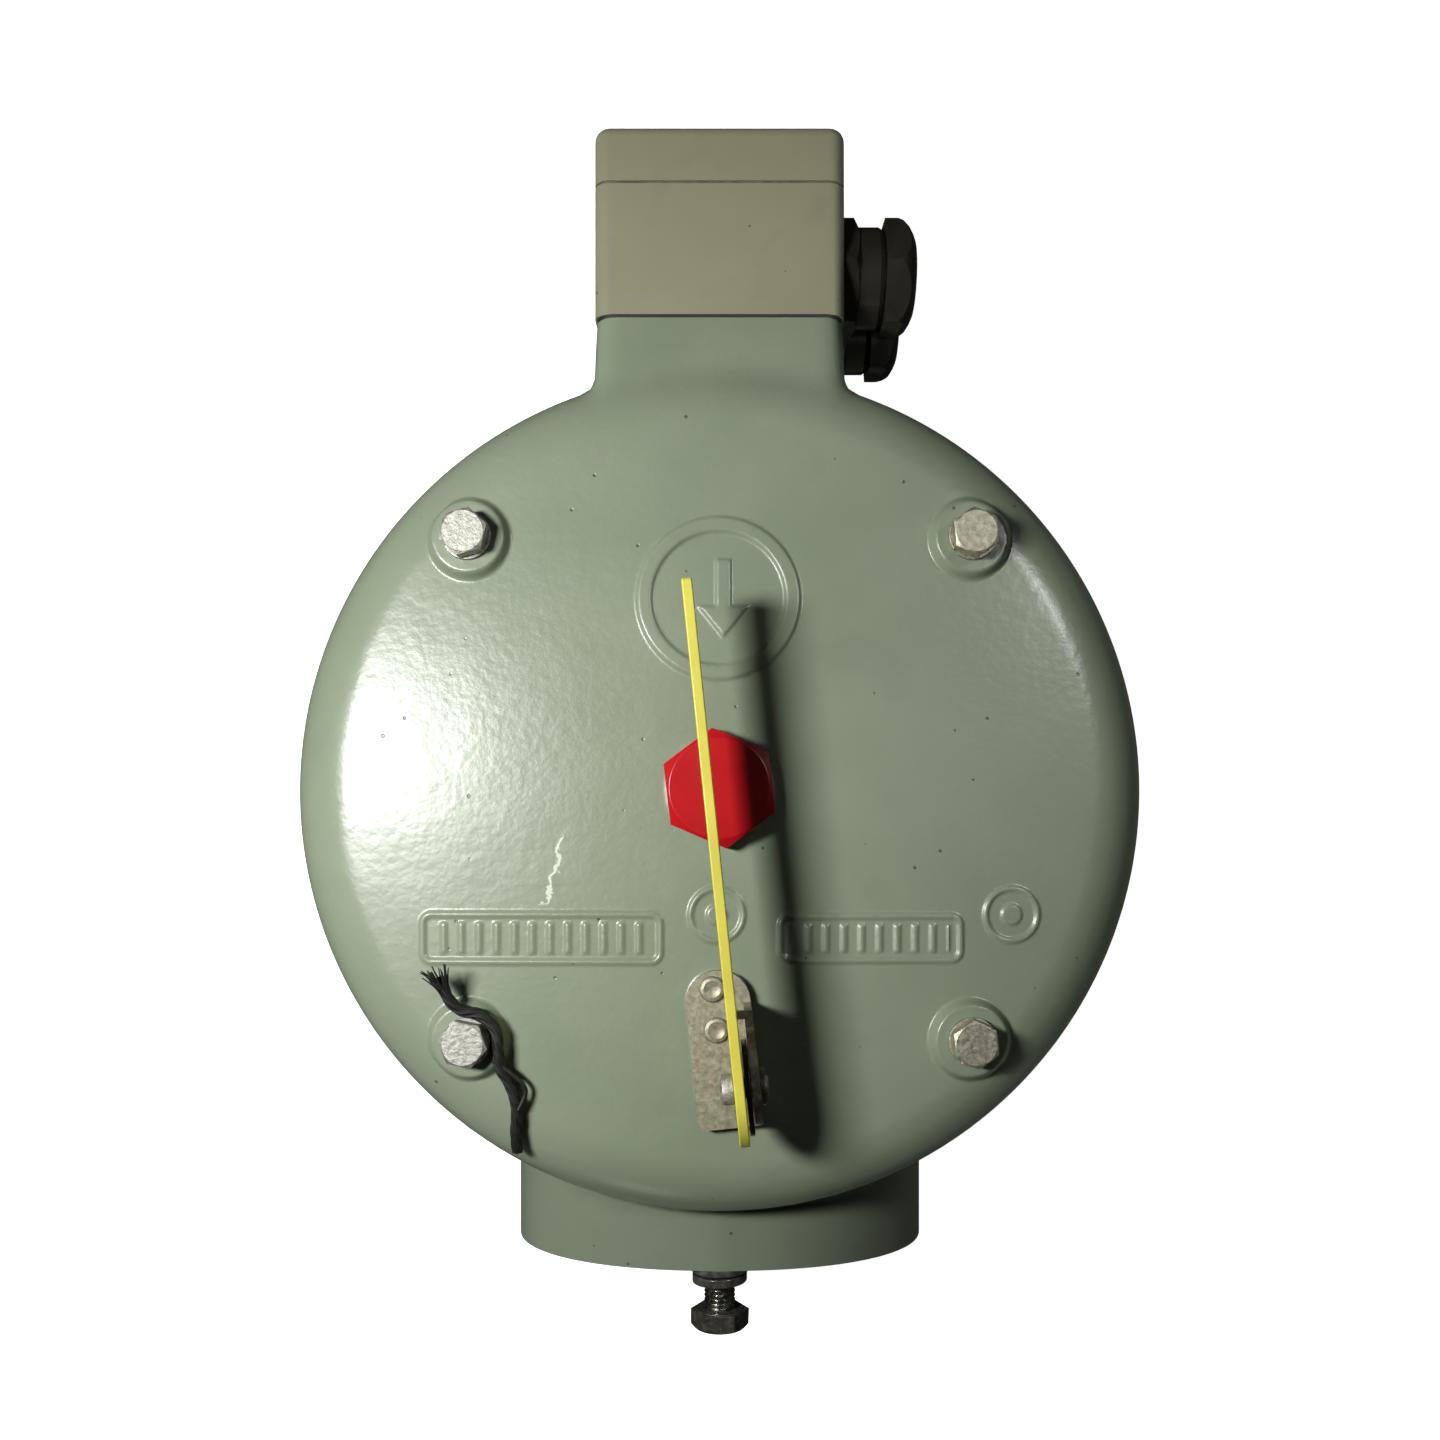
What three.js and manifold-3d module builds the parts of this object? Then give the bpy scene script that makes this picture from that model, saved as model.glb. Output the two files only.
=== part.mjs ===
import * as THREE from 'three';
import { mergeVertices } from 'three/addons/utils/BufferGeometryUtils.js';
import Module from 'manifold-3d';

const wasm = await Module();
wasm.setup();

// Pressure relief device for an oil-filled transformer, with a hood that throws the oil one way.
// Millimetres. The origin is the centre of the tank flange's underside, +Z runs along the valve's axis
// towards the cover, +Y towards the switch box and -Y out of the discharge nozzle.

const GAP = 0.3;
const DEGREE = Math.PI / 180;

const FLANGE = { radius: 136, bore: 55, thickness: 20, seatTop: 26, holeCircle: 117.5, holeRadius: 7.5, holes: 6 };
const TANK_GROOVE = { inner: 80, outer: 88, depth: 4 };
const SEAT_GROOVE = { inner: 58, outer: 63, depth: 2 };

const HOOD = { radius: 136, top: 155, crown: 2.6, shoulder: 22, wall: 5, bottom: 22, sides: 40 };
const NECK = { width: 80, low: 52, high: 145, corner: 8, wall: 6, start: 95, end: 150 };
const NOZZLE = { width: 146, low: 22, high: 126, corner: 42, wall: 6, start: 95, end: 158 };
const BOLT = { offset: 77.5, padRadius: 11, padTop: 156.2, washer: 2.2, shank: 4, flats: 13, head: 5.3 };
const BOLT_TURN = [35.7, 16.5, 49.3, 35.3];
const SEAT = { top: 155.2, capRadius: 24 };
const MEDALLION = { x: -0.3, y: 58.8, outer: 25, inner: 20, top: 156 };
const PANELS = [{ x: -55, y: -46, width: 77, height: 18 }, { x: 46.6, y: -46, width: 59, height: 17 }];

const BRIDGE = { low: 112, high: 120, seatRadius: 56, barWidth: 26 };
const COLUMN = { radius: 8, spigot: 5, top: 131 };
const DISC = { radius: 78, low: 26.9, top: 32, rimInner: 74, rimLow: 22, bossRadius: 14, bossTop: 38 };
const PIN = { radius: 5, hole: 5.6, top: 159.7 };
const CAP = { flats: 32, low: 155.5, high: 163, turn: 36.7 };

const BOX = { width: 80, low: 54, high: 142, corner: 5, wall: 5, start: 151.2, end: 193, lidStart: 193.9, top: 212 };
const LID_SCREW = { x: 31, z: 35, hole: 2.6, shank: 2.1, head: 4, headLow: 208.5, end: 181 };
const GLAND = { y: 172.1, heights: [119, 77], flats: 33, hole: 12.4, shoulder: 45.9, waist: 53.8, end: 64.4, turn: 4 };

const ARM_UNIT = { x: 1, y: -81, turn: 5.9 };
const ARM = { left: 2.6, right: 5.6, low: 22.8, high: 38.8, end: 138.6, footY: -8, footRadius: 16 };
const PIVOT = { y: -7.5, z: 21, hole: 3.3, radius: 3 };
const RIVETS = [[-1.2, 20], [-1.2, 7.4]];
const LEVER = { y: 120, z: 64, tipY: 72, tipZ: 35.5, left: 11.4, right: 13.4, pin: 2.5, roller: 3 };
const EARTH = { z: 117, face: -158, washer: 2.2, spring: 4.2, bearing: -173, end: -179.4, flats: 17, radius: 5 };

const paint = { color: 0x6f7a66, roughness: 0.42, metalness: 0 };
const boxPaint = { color: 0x7c7c66, roughness: 0.45, metalness: 0 };
const zinc = { color: 0xb9bab2, roughness: 0.38, metalness: 0.9 };
const steel = { color: 0x6d6e6a, roughness: 0.4, metalness: 0.9 };
const aluminium = { color: 0x9a968c, roughness: 0.5, metalness: 0.85 };
const brass = { color: 0xb08d4a, roughness: 0.35, metalness: 0.9 };
const rubber = { color: 0x1c1c1b, roughness: 0.8, metalness: 0 };
const nylon = { color: 0x15150f, roughness: 0.35, metalness: 0 };
const redPlastic = { color: 0xb3231d, roughness: 0.35, metalness: 0 };
const yellowPaint = { color: 0xdcd23c, roughness: 0.4, metalness: 0 };
const creamPlastic = { color: 0xcfc8b4, roughness: 0.5, metalness: 0 };

// Merges shared corners, drops the empty triangles at a turning axis and turns the faces outwards.
function weld(geometry) {
  const bare = geometry.clone();
  for (const name of Object.keys(bare.attributes)) {
    if (name !== 'position') bare.deleteAttribute(name);
  }
  const merged = mergeVertices(bare, 1e-4);
  const corners = merged.index.array;
  const place = new THREE.Vector3();
  const at = (corner) => place.fromBufferAttribute(merged.attributes.position, corner).clone();
  const kept = [];
  let volume = 0;
  for (let i = 0; i < corners.length; i += 3) {
    const [a, b, c] = corners.slice(i, i + 3);
    if (a === b || b === c || c === a) continue;
    kept.push(a, b, c);
    volume += at(a).dot(at(b).cross(at(c)));
  }
  merged.setIndex(volume < 0 ? kept.reverse() : kept);
  return merged;
}

function solid(geometry) {
  const welded = weld(geometry);
  return new wasm.Manifold(new wasm.Mesh({
    numProp: 3,
    vertProperties: Float32Array.from(welded.attributes.position.array),
    triVerts: Uint32Array.from(welded.index.array),
  }));
}

function shaped(body) {
  const mesh = body.getMesh();
  const geometry = new THREE.BufferGeometry();
  geometry.setAttribute('position', new THREE.BufferAttribute(mesh.vertProperties, 3));
  geometry.setIndex(new THREE.BufferAttribute(mesh.triVerts, 1));
  return geometry;
}

function join(...geometries) {
  return shaped(geometries.map(solid).reduce((body, extra) => body.add(extra)));
}

function cut(base, ...tools) {
  return shaped(tools.map(solid).reduce((body, tool) => body.subtract(tool), solid(base)));
}

function common(one, other) {
  return shaped(solid(one).intersect(solid(other)));
}

// A body turned about Z from [radius, height] points.
function turned(profile, sides = 24) {
  const points = profile.map(([radius, height]) => new THREE.Vector2(radius, height));
  return new THREE.LatheGeometry(points, sides).rotateX(Math.PI / 2);
}

function ring(inner, outer, low, high, sides = 24) {
  return turned([[inner, low], [outer, low], [outer, high], [inner, high], [inner, low]], sides);
}

function rod(radius, low, high, sides = 16) {
  return turned([[0, low], [radius, low], [radius, high], [0, high]], sides);
}

function hexRod(flats, low, high, turn = 0) {
  const hex = new THREE.CylinderGeometry(flats / Math.sqrt(3), flats / Math.sqrt(3), high - low, 6);
  return hex.rotateX(Math.PI / 2).rotateZ((turn + 30) * DEGREE).translate(0, 0, (low + high) / 2);
}

// A hexagon head with its outer corners turned off at 30 degrees.
function hexHead(flats, low, high, turn = 0) {
  const chamfer = (flats / Math.sqrt(3) - flats / 2) * 0.8;
  const corner = flats / Math.sqrt(3) + 1;
  const flat = flats * 0.475;
  const blank = turned([[0, low - 1], [corner, low - 1], [corner, high - chamfer], [flat, high], [0, high]], 24);
  return common(hexRod(flats, low, high, turn), blank);
}

function box(xRange, yRange, zRange) {
  const ranges = [xRange, yRange, zRange];
  const [width, depth, height] = ranges.map(([low, high]) => high - low);
  const [x, y, z] = ranges.map(([low, high]) => (low + high) / 2);
  return new THREE.BoxGeometry(width, depth, height).translate(x, y, z);
}

function roundedRectangle(width, height, radius) {
  const [x, y] = [width / 2, height / 2];
  const shape = new THREE.Shape();
  shape.absarc(x - radius, y - radius, radius, 0, Math.PI / 2);
  shape.absarc(-x + radius, y - radius, radius, Math.PI / 2, Math.PI);
  shape.absarc(-x + radius, -y + radius, radius, Math.PI, Math.PI * 1.5);
  shape.absarc(x - radius, -y + radius, radius, Math.PI * 1.5, Math.PI * 2);
  shape.closePath();
  return shape;
}

function prism(shape, low, high, curveSegments = 4) {
  const options = { depth: high - low, bevelEnabled: false, curveSegments };
  return new THREE.ExtrudeGeometry(shape, options).translate(0, 0, low);
}

// The same, with the outline in X and Z and its height along Y.
function prismAlongY(shape, low, high, z, curveSegments = 4) {
  return prism(shape, -high, -low, curveSegments).rotateX(Math.PI / 2).translate(0, 0, z);
}

// An outline in Y and Z, with its thickness along X.
function plateAlongX(shape, low, high, curveSegments = 8) {
  const plate = prism(shape, low, high, curveSegments);
  return plate.applyMatrix4(new THREE.Matrix4().set(0, 0, 1, 0, 1, 0, 0, 0, 0, 1, 0, 0, 0, 0, 0, 1));
}

const alongX = (geometry) => geometry.rotateY(Math.PI / 2);
const alongMinusY = (geometry) => geometry.rotateX(Math.PI / 2);

class Helix extends THREE.Curve {
  constructor(radius, low, high, turns) {
    super();
    Object.assign(this, { radius, low, high, turns });
  }

  getPoint(t, target = new THREE.Vector3()) {
    const angle = t * this.turns * Math.PI * 2;
    const height = this.low + (this.high - this.low) * t;
    return target.set(this.radius * Math.cos(angle), this.radius * Math.sin(angle), height);
  }
}

function circleShape(radius, sides) {
  const points = [];
  for (let i = 0; i < sides; i += 1) {
    const angle = (i / sides) * Math.PI * 2;
    points.push(new THREE.Vector2(radius * Math.cos(angle), radius * Math.sin(angle)));
  }
  return new THREE.Shape(points);
}

function sweep(curve, radius, steps, sides = 8) {
  return new THREE.ExtrudeGeometry(circleShape(radius, sides), { extrudePath: curve, steps });
}

const device = new THREE.Group();

function add(name, geometry, look, parent = device) {
  const welded = weld(geometry);
  welded.computeVertexNormals();
  const mesh = new THREE.Mesh(welded, new THREE.MeshStandardMaterial({ flatShading: true, ...look }));
  mesh.name = name;
  parent.add(mesh);
  return mesh;
}

function boltPlaces() {
  const side = BOLT.offset;
  return [[side, side], [-side, side], [-side, -side], [side, -side]];
}

function baseFlange() {
  const { radius, bore, thickness, seatTop } = FLANGE;
  const grooveFloor = seatTop - SEAT_GROOVE.depth;
  const body = turned([
    [bore, 0], [TANK_GROOVE.inner, 0], [TANK_GROOVE.inner, TANK_GROOVE.depth],
    [TANK_GROOVE.outer, TANK_GROOVE.depth], [TANK_GROOVE.outer, 0], [radius, 0], [radius, thickness],
    [66, thickness], [66, seatTop], [SEAT_GROOVE.outer, seatTop], [SEAT_GROOVE.outer, grooveFloor],
    [SEAT_GROOVE.inner, grooveFloor], [SEAT_GROOVE.inner, seatTop], [bore, seatTop], [bore, 0],
  ], HOOD.sides);
  const holes = [];
  for (let i = 0; i < FLANGE.holes; i += 1) {
    const angle = (i / FLANGE.holes) * Math.PI * 2;
    const hole = rod(FLANGE.holeRadius, -1, thickness + 1, 10);
    holes.push(hole.translate(FLANGE.holeCircle * Math.cos(angle), FLANGE.holeCircle * Math.sin(angle), 0));
  }
  return cut(body, ...holes);
}

function valveDisc() {
  const { radius, low, top, rimInner, rimLow, bossRadius, bossTop } = DISC;
  return turned([
    [0, low], [rimInner, low], [rimInner, rimLow], [radius, rimLow], [radius, top], [38, top], [38, top + 4],
    [34.5, top + 4], [34.5, top], [bossRadius, top], [bossRadius, bossTop], [0, bossTop],
  ], 32);
}

function spring(meanRadius, wire, turns) {
  const low = DISC.top + GAP + wire;
  const high = BRIDGE.low - GAP - wire;
  return sweep(new Helix(meanRadius, low, high, turns), wire - 0.05, Math.round(turns * 10), 6);
}

function springBridge() {
  const diagonal = BOLT.offset * Math.SQRT2 + 13;
  const bar = (turn) => box([-diagonal, diagonal], [-BRIDGE.barWidth / 2, BRIDGE.barWidth / 2],
    [BRIDGE.low, BRIDGE.high]).rotateZ(turn * DEGREE);
  const plate = join(rod(BRIDGE.seatRadius, BRIDGE.low, BRIDGE.high, 24), bar(45), bar(-45));
  const holes = boltPlaces().map(([x, y]) => rod(COLUMN.spigot + GAP, 100, 130, 12).translate(x, y, 0));
  return cut(plate, rod(8.4, 100, 130, 16), ...holes);
}

add('base_flange', baseFlange(), paint);
add('tank_gasket', ring(TANK_GROOVE.inner + GAP, TANK_GROOVE.outer - GAP, 0.2, TANK_GROOVE.depth - GAP, 40), rubber);
add('seat_gasket', ring(SEAT_GROOVE.inner + GAP, SEAT_GROOVE.outer - GAP, 24, 26.6, 40), rubber);
add('side_seal', ring(67, 73, FLANGE.thickness, 25.5, 32), rubber);
add('valve_disc', valveDisc(), aluminium);
add('outer_spring', spring(46, 4, 4.25), steel);
add('inner_spring', spring(29, 3, 6.25), steel);
add('spring_bridge', springBridge(), zinc);
add('pin_guide_bush', turned([
  [PIN.radius + GAP, 108], [8.1, 108], [8.1, BRIDGE.high], [12, BRIDGE.high], [12, 123],
  [PIN.radius + GAP, 123], [PIN.radius + GAP, 108],
], 16), brass);

boltPlaces().forEach(([x, y], index) => {
  const column = turned([
    [0, FLANGE.thickness], [COLUMN.radius, FLANGE.thickness], [COLUMN.radius, BRIDGE.low],
    [COLUMN.spigot, BRIDGE.low], [COLUMN.spigot, COLUMN.top], [0, COLUMN.top],
  ], 12);
  add(`column_${index + 1}`, column, zinc).position.set(x, y, 0);
  const standoff = cut(hexRod(16, BRIDGE.high, 146), rod(COLUMN.spigot + GAP, 110, 132, 12),
    rod(BOLT.shank + GAP, 135, 150, 12));
  add(`standoff_${index + 1}`, standoff, zinc).position.set(x, y, 0);
});

// The dome's outline at a distance inside the outer skin, down to the given height.
function domeProfile(inset, bottom) {
  const { radius, top, crown, shoulder } = HOOD;
  const flat = radius - shoulder;
  const height = (r) => top - inset - crown * (r / flat) ** 2;
  const profile = [[0, height(0)], [60, height(60)]];
  const steps = 4;
  for (let i = 0; i <= steps; i += 1) {
    const angle = (1 - i / steps) * Math.PI / 2;
    const reach = shoulder - inset;
    profile.push([flat + reach * Math.cos(angle), top - crown - shoulder + reach * Math.sin(angle)]);
  }
  profile.push([radius - inset, bottom], [0, bottom]);
  return profile;
}

function framedPanel({ x, y, width, height }) {
  const rim = 2;
  const plate = prism(roundedRectangle(width, height, 5), 150, 155.6, 3);
  const field = prism(roundedRectangle(width - 2 * rim, height - 2 * rim, 3.2), 154.9, 160, 3);
  return cut(plate, field).translate(x, y, 0);
}

function hood() {
  const neckHeight = NECK.high - NECK.low;
  const neckZ = (NECK.high + NECK.low) / 2;
  const nozzleHeight = NOZZLE.high - NOZZLE.low;
  const nozzleZ = (NOZZLE.high + NOZZLE.low) / 2;
  const skin = join(
    turned(domeProfile(0, HOOD.bottom), HOOD.sides),
    prismAlongY(roundedRectangle(NECK.width, neckHeight, NECK.corner), NECK.start, NECK.end, neckZ, 3),
    prismAlongY(roundedRectangle(NOZZLE.width, nozzleHeight, NOZZLE.corner), -NOZZLE.end, -NOZZLE.start, nozzleZ, 6),
  );
  const hollow = [
    turned(domeProfile(HOOD.wall, HOOD.bottom - 1), HOOD.sides),
    prismAlongY(roundedRectangle(NECK.width - 2 * NECK.wall, neckHeight - 2 * NECK.wall, 4),
      NECK.start - 5, NECK.end + 1, neckZ, 3),
    prismAlongY(roundedRectangle(NOZZLE.width - 2 * NOZZLE.wall, nozzleHeight - 2 * NOZZLE.wall,
      NOZZLE.corner - NOZZLE.wall), -NOZZLE.end - 1, -NOZZLE.start + 5, nozzleZ, 6),
  ];
  const pads = boltPlaces().map(([x, y]) => turned([
    [0, 146], [12, 146], [12, 152], [13.6, 152], [13.2, 154.2], [BOLT.padRadius, BOLT.padTop], [0, BOLT.padTop],
  ], 16).translate(x, y, 0));
  const seats = [
    turned([[0, 144], [15, 144], [15, 152], [SEAT.capRadius + 1.5, 152], [SEAT.capRadius, SEAT.top], [0, SEAT.top]]),
    prism(roundedRectangle(24, 54, 10), 151, SEAT.top, 3).rotateZ(ARM_UNIT.turn * DEGREE)
      .translate(ARM_UNIT.x, ARM_UNIT.y, 0),
    ring(MEDALLION.inner, MEDALLION.outer, 151, MEDALLION.top, 24).translate(MEDALLION.x, MEDALLION.y, 0),
    ...PANELS.map(framedPanel),
    rod(9, NOZZLE.end - 20, NOZZLE.end, 12).rotateX(Math.PI / 2).translate(0, 0, EARTH.z),
  ];
  const holes = boltPlaces().map(([x, y]) => rod(BOLT.shank + 0.6, 140, 160, 12).translate(x, y, 0));
  holes.push(rod(PIN.hole, 140, 160, 12), ring(PIN.hole - 0.5, 8.7, 146.8, 150.2, 12));
  holes.push(alongMinusY(rod(EARTH.radius + GAP, NOZZLE.end - 16, NOZZLE.end + 1, 12)).translate(0, 0, EARTH.z));
  const rivetHoles = RIVETS.map(([x, y]) => {
    const hole = rod(1.9, 140, 160, 8).translate(x, y, 0);
    return hole.rotateZ(ARM_UNIT.turn * DEGREE).translate(ARM_UNIT.x, ARM_UNIT.y, 0);
  });
  return cut(join(cut(skin, ...hollow), ...pads, ...seats), ...holes, ...rivetHoles);
}

add('hood', hood(), paint);
add('hood_gasket', ring(127, 135, FLANGE.thickness, HOOD.bottom, 32), rubber);

boltPlaces().forEach(([x, y], index) => {
  const low = BOLT.padTop + BOLT.washer;
  const bolt = join(hexHead(BOLT.flats, low, low + BOLT.head, BOLT_TURN[index]), rod(BOLT.shank, 137, low + 1, 12));
  add(`hood_bolt_${index + 1}`, bolt, zinc).position.set(x, y, 0);
  const washer = cut(ring(BOLT.shank + 0.6, 7.4, BOLT.padTop, low, 16), box([3, 9], [-0.5, 0.5], [150, 160]));
  const split = add(`spring_washer_${index + 1}`, washer, zinc);
  split.position.set(x, y, 0);
  split.rotation.z = (200 + 70 * index) * DEGREE;
});

add('signal_pin', turned([
  [0, DISC.bossTop + GAP], [12, DISC.bossTop + GAP], [12, 41], [PIN.radius, 41], [PIN.radius, PIN.top], [0, PIN.top],
], 16), steel);
add('pin_oring', turned([[5.5, 148.5], [6.3, 147.2], [7.7, 147.2], [8.4, 148.5], [7.7, 149.8], [6.3, 149.8],
  [5.5, 148.5]], 12), rubber);
add('indicator_cap', cut(hexHead(CAP.flats, CAP.low, CAP.high), rod(PIN.radius + GAP, CAP.low - 1, 160, 16)),
  redPlastic).rotation.z = CAP.turn * DEGREE;

const boxZ = (BOX.low + BOX.high) / 2;
const boxHeight = BOX.high - BOX.low;

function screwPlaces() {
  const { x, z } = LID_SCREW;
  return [[x, z], [-x, z], [-x, -z], [x, -z]];
}

// A round bar along Y at a lid screw's place.
function cornerRod(radius, low, high, [x, z]) {
  return alongMinusY(rod(radius, -high, -low, 10)).translate(x, 0, boxZ + z);
}

function terminalBox() {
  const shell = cut(
    prismAlongY(roundedRectangle(BOX.width, boxHeight, BOX.corner), BOX.start, BOX.end, boxZ, 3),
    prismAlongY(roundedRectangle(BOX.width - 2 * BOX.wall, boxHeight - 2 * BOX.wall, 3),
      BOX.start + BOX.wall, BOX.end + 1, boxZ, 2),
  );
  const posts = screwPlaces().map((place) => cornerRod(5, BOX.start + 1, BOX.end, place));
  const threads = screwPlaces().map((place) => cornerRod(LID_SCREW.hole, 178, BOX.end + 1, place));
  const glandHoles = GLAND.heights.map((z) => alongX(rod(GLAND.hole, 30, 45, 16)).translate(0, GLAND.y, z));
  const cableHole = alongMinusY(rod(12, -160, -150, 16)).translate(0, 0, boxZ + 20);
  return cut(join(shell, ...posts), ...threads, ...glandHoles, cableHole);
}

function terminalBoxLid() {
  const bevel = 4;
  const options = { depth: BOX.top - BOX.lidStart - bevel, bevelThickness: bevel, bevelSize: bevel,
    bevelOffset: -bevel, bevelSegments: 3, curveSegments: 3 };
  const outer = new THREE.ExtrudeGeometry(roundedRectangle(BOX.width, boxHeight, BOX.corner), options);
  const block = outer.rotateX(-Math.PI / 2).translate(0, BOX.lidStart, boxZ);
  const trimmed = common(block, box([-50, 50], [BOX.lidStart, BOX.top + 1], [0, 200]));
  const hollow = prismAlongY(roundedRectangle(54, 62, 3), BOX.lidStart - 1, BOX.top - 6, boxZ, 2);
  const holes = screwPlaces().map((place) => cornerRod(LID_SCREW.hole, 190, 215, place));
  const sinks = screwPlaces().map((place) => cornerRod(LID_SCREW.head + 0.5, LID_SCREW.headLow, 215, place));
  return cut(trimmed, hollow, ...holes, ...sinks);
}

function frameGasket(width, height, opening, low, high, holes = []) {
  return cut(prismAlongY(roundedRectangle(width, height, 5), low, high, boxZ, 3),
    prismAlongY(roundedRectangle(width - opening, height - opening, 3), low - 1, high + 1, boxZ, 2), ...holes);
}

add('box_gasket', frameGasket(78, 86, 10, NECK.end, BOX.start), rubber);
add('terminal_box', terminalBox(), boxPaint);
add('lid_gasket', frameGasket(79, 87, 24, BOX.end, BOX.lidStart,
  screwPlaces().map((place) => cornerRod(LID_SCREW.hole, 190, 196, place))), rubber);
add('terminal_box_lid', terminalBoxLid(), boxPaint);
screwPlaces().forEach((place, index) => {
  const screw = join(cornerRod(LID_SCREW.shank, LID_SCREW.end, LID_SCREW.headLow + 1, place),
    cornerRod(LID_SCREW.head, LID_SCREW.headLow, LID_SCREW.headLow + 3, place));
  add(`lid_screw_${index + 1}`, screw, zinc);
});

GLAND.heights.forEach((z, index) => {
  const inside = 30.5;
  const wall = BOX.width / 2 + GAP;
  const body = cut(
    join(hexRod(GLAND.flats, wall, GLAND.shoulder, GLAND.turn), rod(16, GLAND.shoulder - 1, GLAND.waist, 16),
      rod(12, inside, wall + 1, 16), rod(11, GLAND.waist - 1, 58, 16)),
    rod(8, 20, 70, 12),
  );
  const dome = turned([[0, 50], [20, 50], [20, 58], [17.5, 62], [13, GLAND.end], [0, GLAND.end]], 16);
  const nut = cut(common(hexRod(GLAND.flats, GLAND.waist + GAP, GLAND.end, GLAND.turn), dome),
    rod(11.4, 50, 59, 16), rod(8.5, 50, 70, 12));
  const plug = rod(8.2, 58.5, GLAND.end - 1.5, 12);
  const put = (name, geometry, look) => add(name, alongX(geometry), look).position.set(0, GLAND.y, z);
  put(`gland_body_${index + 1}`, body, nylon);
  put(`gland_nut_${index + 1}`, nut, nylon);
  put(`gland_plug_${index + 1}`, plug, rubber);
});

function terminalBlock() {
  const floor = BOX.start + BOX.wall;
  const slots = [-16, -8, 0, 8, 16].map((x) => box([x - 2.5, x + 2.5], [floor + 10, floor + 20], [84, 92]));
  return cut(box([-24, 24], [floor, floor + 16], [74, 92]), ...slots);
}

add('terminal_block', terminalBlock(), creamPlastic);

function switchLever() {
  const reach = Math.hypot(LEVER.tipY - LEVER.y, LEVER.tipZ - LEVER.z);
  const slope = Math.atan2(LEVER.tipZ - LEVER.z, LEVER.tipY - LEVER.y);
  const { left, right, pin } = LEVER;
  const bar = box([left, right], [0, reach], [-pin, pin]).rotateX(slope);
  const hub = alongX(rod(2 * pin, left, right, 16));
  const roller = alongX(rod(LEVER.roller, left - 2, right + 2, 12));
  roller.translate(0, LEVER.tipY - LEVER.y, LEVER.tipZ - LEVER.z);
  return cut(join(bar, hub, roller), alongX(rod(pin + GAP, 5, 20, 12)));
}

add('switch_bracket', join(box([-33.6, 33.6], [118, 149], [88.3, 91.3]), box([-33.6, 33.6], [146, 149], [78, 90])), zinc);
add('limit_switch', join(box([-11, 11], [112, 145.6], [58.5, 88]),
  alongX(rod(LEVER.pin, 10, 14.6, 12)).translate(0, LEVER.y, LEVER.z)), nylon);
add('switch_lever', switchLever(), steel).position.set(0, LEVER.y, LEVER.z);

const unit = new THREE.Group();
unit.position.set(ARM_UNIT.x, ARM_UNIT.y, SEAT.top);
unit.rotation.z = ARM_UNIT.turn * DEGREE;
device.add(unit);

const pivotRod = (radius, low, high, sides = 16) => alongX(rod(radius, low, high, sides)).translate(0, PIVOT.y, PIVOT.z);

function armBracket() {
  const base = new THREE.Shape();
  base.moveTo(-9.7, -21).lineTo(-9.7, 15.6);
  base.absarc(0.2, 15.6, 9.9, Math.PI, 0, true);
  base.lineTo(10.1, -23).lineTo(-7.7, -23);
  base.closePath();
  const lug = new THREE.Shape();
  lug.moveTo(-20, GAP).lineTo(15, GAP).lineTo(15, 22.5).lineTo(9, 22.5).lineTo(2, PIVOT.z + 2);
  lug.absarc(PIVOT.y, PIVOT.z, 9.5, 0.1, Math.PI, false);
  lug.lineTo(-20, 10);
  lug.closePath();
  const rest = box([2.6, 10], [12.6, 15], [20, 22.5]);
  const bracket = join(prism(base, GAP, 2.8, 8), plateAlongX(lug, 7.7, 10.1), rest);
  const holes = RIVETS.map(([x, y]) => rod(1.9, -1, 5, 8).translate(x, y, 0));
  return cut(bracket, ...holes, rod(1.4, -1, 5, 8).translate(0.2, -13.7, 0), pivotRod(PIVOT.hole, 5, 15));
}

function signalArm() {
  const outline = new THREE.Shape();
  outline.moveTo(ARM.end, ARM.low).lineTo(ARM.end, ARM.high).lineTo(ARM.footY, ARM.high);
  outline.absarc(ARM.footY, ARM.low, ARM.footRadius, Math.PI / 2, Math.PI * 1.85, false);
  outline.lineTo(12, ARM.low);
  outline.closePath();
  return cut(plateAlongX(outline, ARM.left, ARM.right), pivotRod(PIVOT.hole, 0, 9));
}

add('arm_bracket', armBracket(), aluminium, unit);
RIVETS.forEach(([x, y], index) => {
  const rivet = turned([[0, -5], [1.6, -5], [1.6, 3.1], [4, 3.1], [3.4, 4.3], [2, 4.9], [0, 5]], 12);
  add(`bracket_rivet_${index + 1}`, rivet, aluminium, unit).position.set(x, y, 0);
});
add('signal_arm', signalArm(), yellowPaint, unit);
add('friction_disc', cut(pivotRod(14, 5.9, 7.4, 24), pivotRod(PIVOT.hole, 0, 15)), nylon, unit);
add('hinge_pin', join(pivotRod(4.6, -1.6, 2.3), pivotRod(PIVOT.radius, 2, 12.6)), zinc, unit);
add('hinge_clip', cut(pivotRod(5.5, 10.4, 11.6), pivotRod(PIVOT.hole, 0, 15)), steel, unit);

const washerEnd = EARTH.face - EARTH.washer;
const onEarthAxis = (geometry) => alongMinusY(geometry).translate(0, 0, EARTH.z);

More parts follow.
